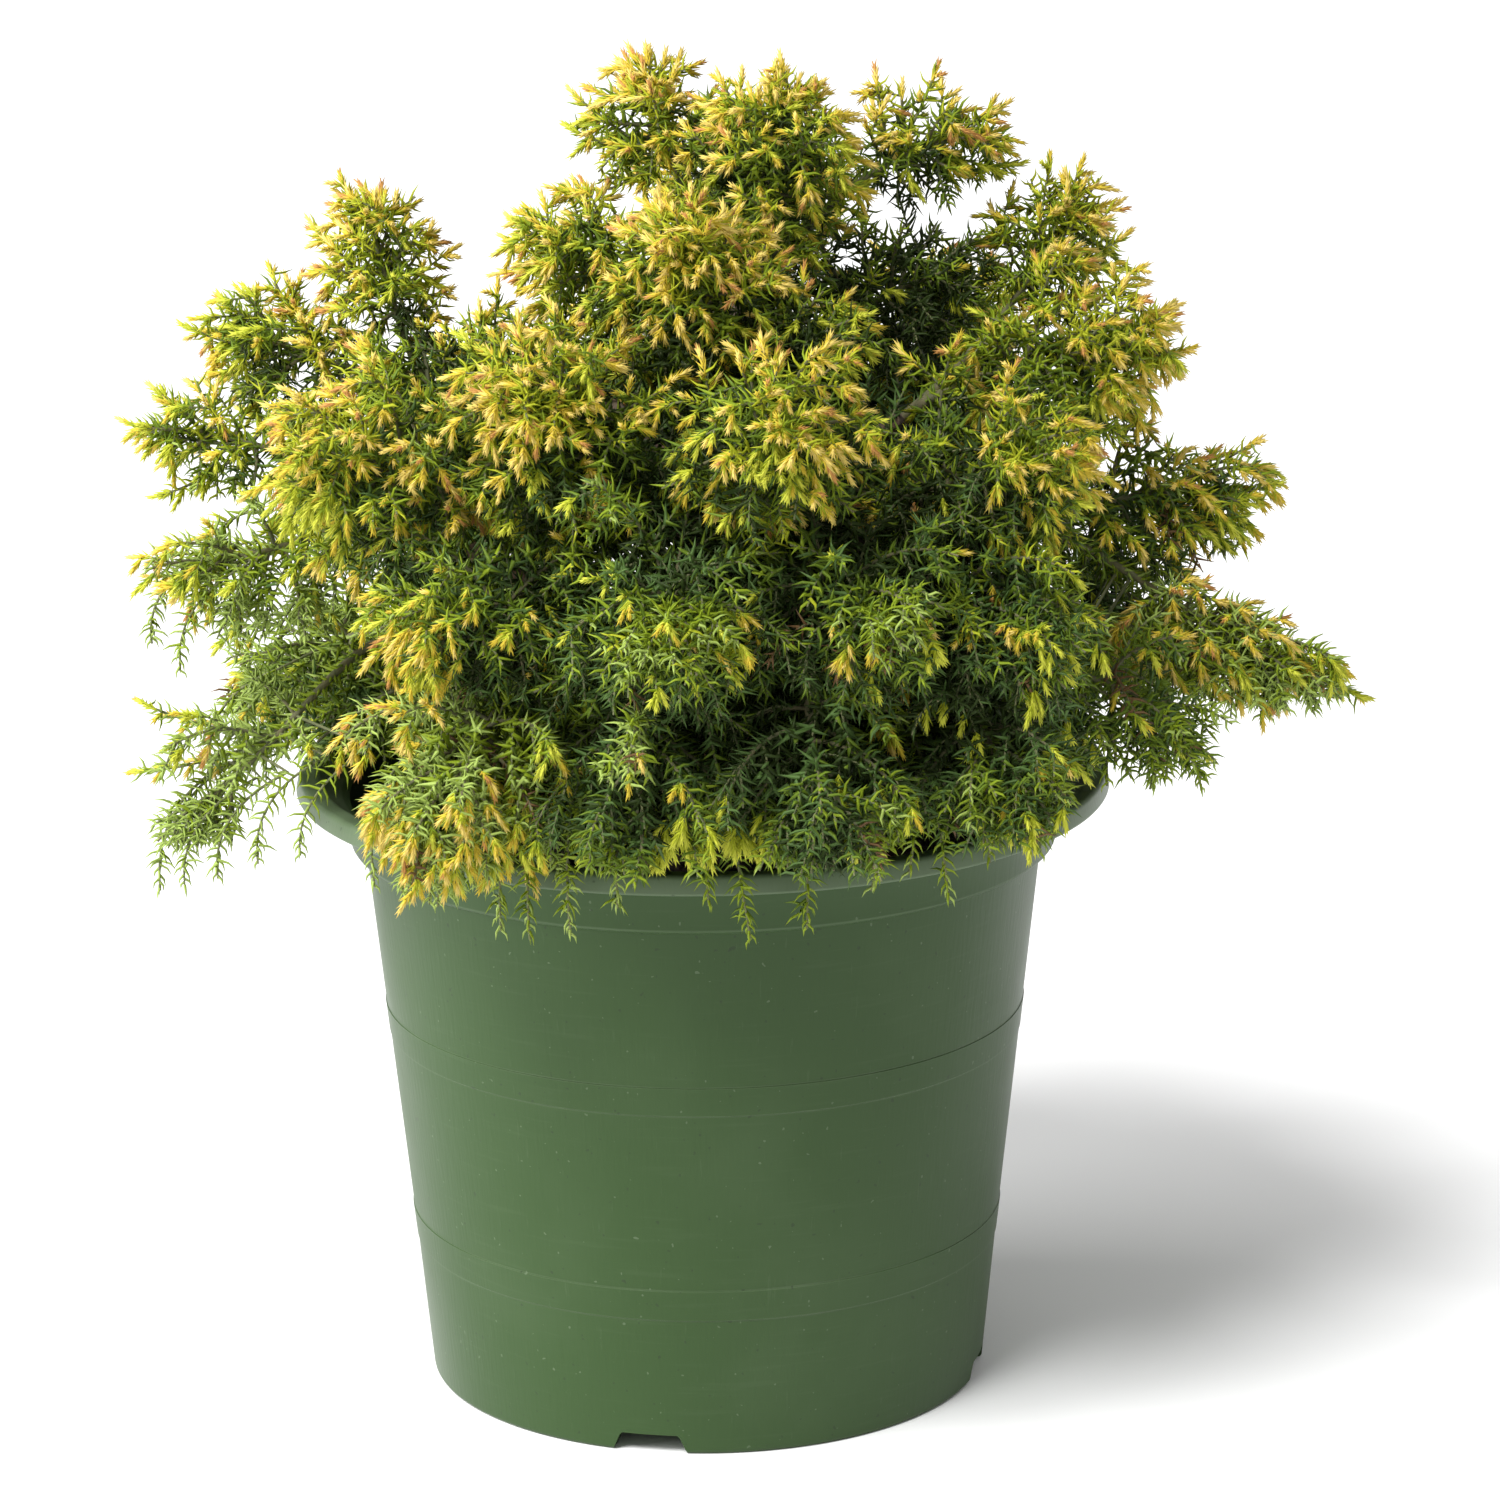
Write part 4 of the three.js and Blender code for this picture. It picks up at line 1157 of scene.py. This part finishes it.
@functools.cache
def crown():
    """Everything that grows: twigs, shoots and tufts as paths, and the needles on them."""
    settings = bpy.context.scene.cedar_growth
    chance = Chance(settings.seed)
    twigs = grow_twigs(settings, chance)
    twigs.judge(chance)
    shoots = grow_shoots(settings, chance, twigs)
    shoots.judge(chance)
    tufts = grow_tufts(settings, chance, shoots)
    tufts.judge(chance)
    tufts.golden = shoots.golden[tufts.parent] & (tufts.golden | (chance.random(tufts.count) < 0.6))
    tufts.ripeness = 0.5 * (tufts.ripeness + shoots.ripeness[tufts.parent])
    needles = Needles(settings, chance)
    for growth in (twigs, shoots, tufts):
        growth.flush = chance.random(growth.count)
    stems = grow_stems()
    stems.judge(chance)
    stems.golden[:] = False
    needles.dress_green(stems, BARE_STEM)
    needles.dress_green(twigs, BARE_TWIG)
    inner, strands = grow_inner(chance), grow_strands(chance)
    # Inner shoots take a low tone, dark greens painted for the shade inside the crown; the strands hanging
    # outside take a high one, painted for the light on them
    for growth, out, tone in ((inner, 0.4, 0.30), (strands, 1.0, 0.60)):
        side_shoots = grow_tufts(settings, chance, growth, None, 2.2)
        for part in (growth, side_shoots):
            part.judge(chance)
            part.out[:] = part.open_air[:] = out
            part.tone = tone + 0.4 * (part.tone - 0.4)
            part.golden[:] = part.dead[:] = part.warm[:] = False
            needles.dress_green(part)
    needles.dress_green(shoots)
    needles.dress_green(chosen(tufts, ~tufts.golden))
    for growth in (twigs, shoots):
        needles.dress_ends(chosen(growth, growth.golden))
    needles.dress_ends(chosen(tufts, tufts.golden))
    leaders = grow_leaders()
    for part in (leaders, grow_tufts(settings, chance, leaders, None, 1.1)):
        part.judge(chance)
        # Leaders count as fully out and in open air, so their greens are painted as fully lit
        part.out[:] = part.open_air[:] = 1
        part.golden[:] = True
        part.flush = chance.random(part.count)
        needles.dress_green(part)
        needles.dress_ends(part)
    needles.dress_green(stems, BARE_STEM_AGAIN)
    return twigs, shoots, strands, inner, leaders, needles.gathered()


# Geometry node trees

def new_tree(name, inputs):
    tree = bpy.data.node_groups.new(name, "GeometryNodeTree")
    tree.interface.new_socket("Geometry", in_out="INPUT", socket_type="NodeSocketGeometry")
    tree.interface.new_socket("Geometry", in_out="OUTPUT", socket_type="NodeSocketGeometry")
    for title, kind in inputs.items():
        tree.interface.new_socket(title, in_out="INPUT", socket_type=kind)
    graph = Graph(tree)
    return graph, graph.add("NodeGroupInput")


def end_tree(graph, geometry, material):
    finished = graph.add("GeometryNodeSetMaterial", {}, {"Geometry": geometry, "Material": material})
    graph.add("NodeGroupOutput", {}, {0: finished})
    return graph.tree


def apply_tree(piece, tree, values):
    modifier = piece.modifiers.new(tree.name, "NODES")
    modifier.node_group = tree
    for item in tree.interface.items_tree:
        if item.in_out == "INPUT" and item.name in values:
            modifier[item.identifier] = values[item.name]
    return freeze(piece)


def attribute(graph, name, kind):
    return graph.add("GeometryNodeInputNamedAttribute", {"data_type": kind}, {"Name": name})


@functools.cache
def needle_tree():
    """A needle at each point of a mesh, turned and sized by the point's attributes."""
    graph, group = new_tree("needles_on_shoots", {
        "Bulge": "NodeSocketFloat", "Swell": "NodeSocketFloat", "Material": "NodeSocketMaterial"})
    cone = {"Vertices": 3, "Radius Top": 0.0, "Radius Bottom": 1.0, "Depth": 1.0}
    straight = graph.add("GeometryNodeMeshCone", {"fill_type": "NONE"}, {**cone, "Side Segments": 1})
    bent = graph.add("GeometryNodeMeshCone", {"fill_type": "NONE"}, {**cone, "Side Segments": 2})
    along = graph.add("ShaderNodeSeparateXYZ", {}, {0: graph.add("GeometryNodeInputPosition")}, out="Z")
    middle = along * (1 - along) * 4
    swell = graph.add("ShaderNodeVectorMath", {"operation": "SCALE"}, {
        0: graph.add("ShaderNodeCombineXYZ", {}, {
            "X": along.out("X"), "Y": along.out("Y")}),
        "Scale": middle * group.out("Swell")})
    bulge = graph.add("ShaderNodeCombineXYZ", {}, {"X": middle * group.out("Bulge")})
    shift = graph.add("ShaderNodeVectorMath", {"operation": "ADD"}, {0: swell, 1: bulge})
    bent = graph.add("GeometryNodeSetPosition", {}, {"Geometry": bent, "Offset": shift})
    turn = graph.add("FunctionNodeAxesToRotation", {"primary_axis": "Z", "secondary_axis": "X"}, {
        0: attribute(graph, "heading", "FLOAT_VECTOR"), 1: attribute(graph, "forward", "FLOAT_VECTOR")})
    curved = attribute(graph, "curved", "BOOLEAN")
    pair = []
    for needle, which in ((bent, curved), (straight, graph.add(
            "FunctionNodeBooleanMath", {"operation": "NOT"}, {0: curved}))):
        pair.append(graph.add("GeometryNodeInstanceOnPoints", {}, {
            "Points": group, "Selection": which, "Instance": needle, "Rotation": turn,
            "Scale": attribute(graph, "size", "FLOAT_VECTOR")}))
    joined = graph.add("GeometryNodeJoinGeometry", {}, {0: pair})
    real = graph.add("GeometryNodeRealizeInstances", {}, {0: joined})
    rounded = graph.add("GeometryNodeSetShadeSmooth", {}, {0: real})
    return end_tree(graph, rounded, group.out("Material"))


@functools.cache
def stem_tree():
    """A thin round stem along each edge path of a mesh."""
    graph, group = new_tree("stems_on_paths", {"Sides": "NodeSocketInt", "Material": "NodeSocketMaterial"})
    curves = graph.add("GeometryNodeMeshToCurve", {}, {0: group})
    ring = graph.add("GeometryNodeCurvePrimitiveCircle", {}, {
        "Resolution": group.out("Sides"), "Radius": 1.0})
    stems = graph.add("GeometryNodeCurveToMesh", {}, {
        "Curve": curves, "Profile Curve": ring, "Scale": attribute(graph, "thickness", "FLOAT"),
        "Fill Caps": True})
    real = graph.add("GeometryNodeRealizeInstances", {}, {0: stems})
    return end_tree(graph, real, group.out("Material"))


def point_mesh(name, points, attributes, edges=()):
    mesh = bpy.data.meshes.new(name)
    mesh.vertices.add(len(points))
    mesh.vertices.foreach_set("co", (points * MM).ravel())
    if len(edges):
        mesh.edges.add(len(edges))
        mesh.edges.foreach_set("vertices", np.asarray(edges).ravel())
    for title, (kind, field, values) in attributes.items():
        layer = mesh.attributes.new(title, kind, "POINT")
        layer.data.foreach_set(field, np.ascontiguousarray(values).ravel())
    return new_object(name, mesh)


def stems_piece(name, paths, lengths, step, radii, stride, sides, material):
    """One mesh of stems along many paths, cut to their lengths; radii are at root and tip, and
    each stride of steps is one length of tube."""
    points, edges, sizes = [], [], []
    offset = 0
    for path, length in zip(paths, lengths):
        stops = np.append(np.arange(0, length - stride * step * 0.5, stride * step), length)
        k = np.minimum((stops / step).astype(int), len(path) - 2)
        share = (stops / step - k)[:, None]
        line = path[k] + (path[k + 1] - path[k]) * share
        points.append(line)
        sizes.append(blend(radii[0], radii[1], stops / length))
        order = np.arange(offset, offset + len(line) - 1)
        edges.append(np.stack([order, order + 1], -1))
        offset += len(line)
    piece = point_mesh(name, np.vstack(points), {
        "thickness": ("FLOAT", "value", np.concatenate(sizes).astype(np.float32) * MM)}, np.vstack(edges))
    return apply_tree(piece, stem_tree(), {"Sides": sides, "Material": material})


# Operators, one for each piece or group of like pieces

class CEDAR_OT_pot(bpy.types.Operator):
    """Turn the nursery pot, with its rolled lip, stacking ring, bands, foot ring and notches"""
    bl_idname = "cedar.pot"
    bl_label = "Make Pot"

    def execute(self, context):
        settings = context.scene.cedar_pot
        vertices, faces = turned_outline(pot_outline(settings), settings.sides)
        piece = mesh_piece("nursery_pot", np.array(vertices), faces, plastic_material(settings))
        for k in range(NOTCHES):
            cut_notch(piece, math.radians(FIRST_NOTCH + 360 / NOTCHES * k))
        freeze(piece)
        clear_cutters()
        piece.data.shade_smooth()
        piece.data.set_sharp_from_angle(angle=math.radians(38))
        settle(piece, "pot_plastic", "pot")
        return {"FINISHED"}


def arc(centre, radius, start, end, steps):
    """Points on an arc in an outline, from one angle to another, in degrees."""
    return [(centre[0] + radius * math.cos(math.radians(blend(start, end, k / steps))),
             centre[1] + radius * math.sin(math.radians(blend(start, end, k / steps))))
            for k in range(steps + 1)]


# The pot, in metres: its wall's radius at the ground and how much that grows with the height,
# the raised bands, the stacking ring under the lip, its floor, and its notches and drain holes
FOOT_RADIUS = 0.0962
WALL_SLOPE = 0.1075
BANDS = ((0.0497, 0.0608), (0.1247, 0.1350))
BAND_STEP = 0.0003
RING_BOTTOM, RING_TOP = 0.1913, 0.2097
RING_STEP = 0.005
POT_FLOOR = 0.0085
NOTCHES = 4
FIRST_NOTCH = 258.4
DRAIN_RADIUS = 0.005
DRAIN_REACH = 0.072


def pot_outline(settings):
    """The pot's outline in metres, from the middle of its underside round to its floor inside."""
    lip, top, wall = settings.lip_radius, settings.height, settings.wall
    side = lambda height: FOOT_RADIUS + WALL_SLOPE * height
    inside = lambda height: side(height) - wall
    outline = [(0, 0), (0.0455, 0), (0.046, 0.0004), (0.048, 0.0056), (0.0485, 0.006)]
    outline += [(0.0848, 0.006), (0.0854, 0.0055), (0.0868, 0.0006), (0.0874, 0)]
    outline += arc((FOOT_RADIUS - 0.0012, 0.0018), 0.0018, -90, 0, 4)
    for low, high in BANDS:
        outline += [(side(low), low), (side(low) + BAND_STEP, low + 0.0002),
                    (side(high) + BAND_STEP, high - 0.0002), (side(high), high)]
    outline += [(side(0.186), 0.186), (side(RING_BOTTOM) + 0.0002, RING_BOTTOM - 0.001)]
    outline += arc((side(RING_BOTTOM) + RING_STEP - 0.0018, RING_BOTTOM + 0.0018), 0.0018, -80, 0, 4)
    outline += [(side(RING_TOP) + RING_STEP - 0.0004, RING_TOP - 0.002),
                (side(RING_TOP) + RING_STEP + 0.001, RING_TOP - 0.0004), (lip - 0.003, RING_TOP)]
    outline += arc((lip - 0.0012, RING_TOP + 0.0012), 0.0012, -90, 0, 4)
    outline += arc((lip - 0.0026, top - 0.0018), 0.0018, 0, 90, 4)
    outline += arc((lip - 0.0062, top - 0.003), 0.003, 90, 160, 4)
    outline += [(inside(RING_TOP) + RING_STEP, RING_TOP - 0.002),
                (inside(0.196) + RING_STEP - 0.001, 0.196), (inside(RING_BOTTOM) + 0.002, 0.1925),
                (inside(0.188), 0.188), (inside(0.0095), 0.0095), (inside(POT_FLOOR) - 0.002, POT_FLOOR)]
    return outline + [(0, POT_FLOOR)]


def cut_notch(piece, turn):
    """Cuts one drainage notch through the foot ring, and the drain hole above it."""
    notch = mesh_piece("notch_cutter", *notch_solid(), None, False)
    hole = bmesh.new()
    bmesh.ops.create_cone(hole, cap_ends=True, segments=24, depth=0.02,
                          radius1=DRAIN_RADIUS, radius2=DRAIN_RADIUS)
    bmesh.ops.translate(hole, vec=(DRAIN_REACH, 0, POT_FLOOR), verts=hole.verts)
    mesh = bpy.data.meshes.new("drain_cutter")
    hole.to_mesh(mesh)
    hole.free()
    for cutter in (notch, new_object("drain_cutter", mesh)):
        cutter.data.transform(Matrix.Rotation(turn, 4, "Z"))
        boolean = piece.modifiers.new("cut", "BOOLEAN")
        boolean.object = cutter
        boolean.solver = "MANIFOLD"


def notch_solid():
    low, high, top = 0.0138, 0.0105, 0.0068
    near, far = 0.080, 0.102
    section = [(-low, -0.002), (low, -0.002), (high, top - 0.001), (high - 0.001, top),
               (-high + 0.001, top), (-high, top - 0.001)]
    count = len(section)
    vertices = [(x, y, z) for x in (near, far) for y, z in section]
    faces = [tuple(range(count - 1, -1, -1)), tuple(range(count, 2 * count))]
    faces += [(k, (k + 1) % count, count + (k + 1) % count, count + k) for k in range(count)]
    return vertices, faces


def clear_cutters():
    for cutter in [o for o in bpy.data.objects if o.name.startswith(("notch_cutter", "drain_cutter"))]:
        bpy.data.objects.remove(cutter)


# The mix, in metres: its radius at the top and at the pot's floor
MIX_RADIUS = 0.1125
MIX_FOOT_RADIUS = 0.0935


class CEDAR_OT_mix(bpy.types.Operator):
    """Fill the pot with a crumbly mix of bark and peat"""
    bl_idname = "cedar.mix"
    bl_label = "Fill Pot"

    def execute(self, context):
        rings, sides = 60, 160
        turns = [2 * math.pi * k / sides for k in range(sides)]
        vertices = []
        for ring in range(rings + 1):
            reach = MIX_RADIUS * ring / rings
            level = MIX_TOP * MM - 0.003 * max(0, (reach - 0.034) / 0.08)
            for turn in turns:
                x, y = reach * math.cos(turn), reach * math.sin(turn)
                lumps = noise.fractal(Vector((x, y, 0)) * 160, 0.9, 2.1, 4)
                vertices.append((x, y, level - 0.0012 + 0.0022 * lumps))
        faces = [(a, d, c, b) for a, b, c, d in ring_faces(rings + 1, sides)]
        low = len(vertices)
        vertices += [(MIX_FOOT_RADIUS * math.cos(turn), MIX_FOOT_RADIUS * math.sin(turn), POT_FLOOR + 0.001)
                     for turn in turns]
        faces += [(a, d, c, b) for a, b, c, d in
                  [[rings * sides + corner for corner in face] for face in ring_faces(2, sides)]]
        faces.append(tuple(low + k for k in range(sides - 1, -1, -1)))
        piece = mesh_piece("bark_and_peat", vertices, faces, mix_material())
        doubles = bmesh.new()
        doubles.from_mesh(piece.data)
        bmesh.ops.remove_doubles(doubles, verts=doubles.verts, dist=1e-6)
        bmesh.ops.recalc_face_normals(doubles, faces=doubles.faces)
        doubles.to_mesh(piece.data)
        doubles.free()
        settle(piece, "potting_mix", "potting_mix")
        return {"FINISHED"}


class CEDAR_OT_limbs(bpy.types.Operator):
    """Grow the trunk and the boughs, with bark in relief"""
    bl_idname = "cedar.limbs"
    bl_label = "Grow Limbs"

    def execute(self, context):
        bark = bark_material()
        for name, (path, radii) in limbs().items():
            sides = TRUNK_SIDES if name == "trunk" else BOUGH_SIDES
            settle(mesh_piece(f"{name}_bark", *tube(path, radii, sides), bark), "bark", name)
        return {"FINISHED"}


def rooted(path, root):
    """A path with the bare stretch that joins it to its root, and the steps that were added."""
    stretch = np.linalg.norm(path[1] - path[0])
    steps = max(1, round(np.linalg.norm(path[0] - root) / stretch))
    return np.vstack([blend(root, path[0], np.arange(steps)[:, None] / steps), path]), steps


def trunk_root(path):
    """Where an inner twig that runs back straight from its first point meets the trunk."""
    ahead = path[1] - path[0]
    rise = ahead[2] / np.hypot(*ahead[:2])
    return trunk_point(path[0, 2] - rise * np.hypot(*path[0, :2]))


def stem_root(mass, point):
    """The place on a mass's stem that lies nearest to a point."""
    line = stem_curve(mass, np.linspace(0.2, 1, 60))
    return line[np.linalg.norm(line - point, axis=1).argmin()]


class CEDAR_OT_twigs(bpy.types.Operator):
    """Grow the stems, twigs and green shoots that carry the needles"""
    bl_idname = "cedar.twigs"
    bl_label = "Grow Twigs"

    def execute(self, context):
        twigs, shoots, strands, inner, leaders, _ = crown()
        stems = [stem_curve(mass, np.linspace(0, 1, STEM_STEPS + 1)) for mass in range(len(MASSES))]
        tiers, added = zip(*(rooted(path, trunk_root(path)) for path in tier_paths()))
        joined, more = zip(*(rooted(path, stem_root(mass, path[0]))
                             for path, mass in zip(strands.paths, strands.owner)))
        materials = {"bark": bark_material("twig_bark", 0.5),
                     "green_needles": bark_material("shoot_rind", 0.75)}
        for name, slot, paths, lengths, step, radii, stride, sides in (
                ("stems", "bark", stems, np.full(len(stems), float(STEM_STEPS)), 1.0, STEM_RADII, 1, 8),
                ("twigs", "bark", twigs.paths, twigs.lengths, TWIG_STEP, TWIG_RADII, 2, 4),
                ("shoots", "green_needles", shoots.paths, shoots.lengths, SHOOT_STEP, SHOOT_RADII, 3, 3),
                ("inner_twigs", "bark", tiers, np.array(added) + float(TIER_STEPS), 1.0,
                 INNER_TWIG_RADII, 3, 5),
                ("strands", "green_needles", joined, strands.lengths + np.array(more) * SHOOT_STEP,
                 SHOOT_STEP, LONG_SHOOT_RADII, 2, 4),
                ("inner_shoots", "green_needles", inner.paths, inner.lengths, SHOOT_STEP,
                 LONG_SHOOT_RADII, 2, 4),
                ("leaders", "green_needles", leaders.paths, leaders.lengths, SHOOT_STEP,
                 LONG_SHOOT_RADII, 2, 4)):
            piece = stems_piece(name, paths, lengths, step, radii, stride, sides, materials[slot])
            settle(piece, slot, *NODES)
        return {"FINISHED"}


class CEDAR_OT_needles(bpy.types.Operator):
    """Set the needles on the shoots, one piece for each tint of each side of the crown"""
    bl_idname = "cedar.needles"
    bl_label = "Set Needles"

    def execute(self, context):
        foot, heading, forward, girth, length, curved, tint, region = crown()[-1]
        for t, tint_name in enumerate(TINT_NAMES):
            material = needle_material(tint_name)
            for r, region_name in enumerate(REGIONS):
                here = (tint == t) & (region == r)
                if not here.any():
                    continue
                size = np.stack([girth, girth, length], -1)[here] * MM
                piece = point_mesh(f"{region_name}_{tint_name}_needles", foot[here], {
                    "heading": ("FLOAT_VECTOR", "vector", heading[here].astype(np.float32)),
                    "forward": ("FLOAT_VECTOR", "vector", forward[here].astype(np.float32)),
                    "size": ("FLOAT_VECTOR", "vector", size.astype(np.float32)),
                    "curved": ("BOOLEAN", "value", curved[here]),
                })
                apply_tree(piece, needle_tree(), {
                    "Bulge": NEEDLE_BULGE, "Swell": NEEDLE_SWELL, "Material": material})
                slot = "golden_needles" if tint_name in GOLDEN_TINTS else "green_needles"
                settle(piece, slot, *[NODES[m] for m in range(len(NODES)) if REGION[m] == r])
        return {"FINISHED"}


# The photograph's view, worked out from the pot's rim, foot and wall
CAMERA_PLACE = (0.01627, -2.0, 0.7626)
CAMERA_PITCH = 0.2645
CAMERA_ROLL = 0.0072
CAMERA_LENS = 144.31


class CEDAR_OT_stage(bpy.types.Operator):
    """Lay a pale floor, and set the lights and the camera"""
    bl_idname = "cedar.stage"
    bl_label = "Set Stage"

    def execute(self, context):
        settings = context.scene.cedar_stage
        half = settings.floor_size / 2
        pale = new_material("pale_floor", base_color=(0.93, 0.93, 0.93, 1), roughness=0.9,
                            specular_ior_level=0.1)
        floor = mesh_piece("floor", [(-half, -half, 0), (half, -half, 0), (half, half, 0),
                                     (-half, half, 0)], [(0, 1, 2, 3)], pale)
        floor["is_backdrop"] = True
        world = bpy.data.worlds.new("soft_studio")
        world.use_nodes = True
        world.node_tree.nodes["Background"].inputs["Color"].default_value = (1, 1, 1, 1)
        world.node_tree.nodes["Background"].inputs["Strength"].default_value = settings.sky
        context.scene.world = world
        sun = self.add_light("soft_sun", "SUN", (-0.75, -1.1, 2.1), settings.sun_strength)
        sun.angle = math.radians(24)
        side = self.add_light("side_box", "AREA", (-2.0, -0.4, 0.7), settings.side_power)
        side.size = 1.5
        context.scene.view_settings.view_transform = "Standard"
        camera = bpy.data.cameras.new("camera")
        camera.lens = CAMERA_LENS
        camera.sensor_width = 36
        holder = new_object("camera", camera)
        holder.matrix_world = (Matrix.Translation(CAMERA_PLACE)
                               @ Matrix.Rotation(math.pi / 2 - CAMERA_PITCH, 4, "X")
                               @ Matrix.Rotation(-CAMERA_ROLL, 4, "Z"))
        context.scene.camera = holder
        return {"FINISHED"}

    def add_light(self, name, kind, location, energy):
        light = bpy.data.lights.new(name, kind)
        light.energy = energy
        holder = new_object(name, light)
        holder.location = location
        aim = Vector((0, 0, 0.2)) - holder.location
        holder.rotation_euler = aim.to_track_quat("-Z", "Y").to_euler()
        return light


class CEDAR_PT_panel(bpy.types.Panel):
    """Lists the pieces and their settings"""
    bl_idname = "CEDAR_PT_panel"
    bl_label = "Potted Cedar"
    bl_space_type = "VIEW_3D"
    bl_region_type = "UI"
    bl_category = "Cedar"

    def draw(self, context):
        for operator in OPERATORS:
            self.layout.operator(operator.bl_idname)
        for name in SETTINGS:
            group = getattr(context.scene, name)
            for title in group.bl_rna.properties.keys():
                if title not in ("rna_type", "name"):
                    self.layout.prop(group, title)


OPERATORS = (CEDAR_OT_stage, CEDAR_OT_pot, CEDAR_OT_mix, CEDAR_OT_limbs, CEDAR_OT_twigs, CEDAR_OT_needles)
SETTINGS = {"cedar_pot": CEDAR_PG_pot, "cedar_growth": CEDAR_PG_growth, "cedar_stage": CEDAR_PG_stage}


def register():
    for group in (*SETTINGS.values(), *OPERATORS, CEDAR_PT_panel):
        bpy.utils.register_class(group)
    for name, group in SETTINGS.items():
        setattr(bpy.types.Scene, name, PointerProperty(type=group))


def unregister():
    for name in SETTINGS:
        delattr(bpy.types.Scene, name)
    for group in reversed((*SETTINGS.values(), *OPERATORS, CEDAR_PT_panel)):
        bpy.utils.unregister_class(group)


def main():
    register()
    for operator in OPERATORS:
        module, name = operator.bl_idname.split(".")
        getattr(getattr(bpy.ops, module), name)()
    boxes = {"cad": CAD_BOX, "visual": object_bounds()}
    {name: [list(corner) for corner in box] for name, box in boxes.items()}


if __name__ == "__main__":
    main()
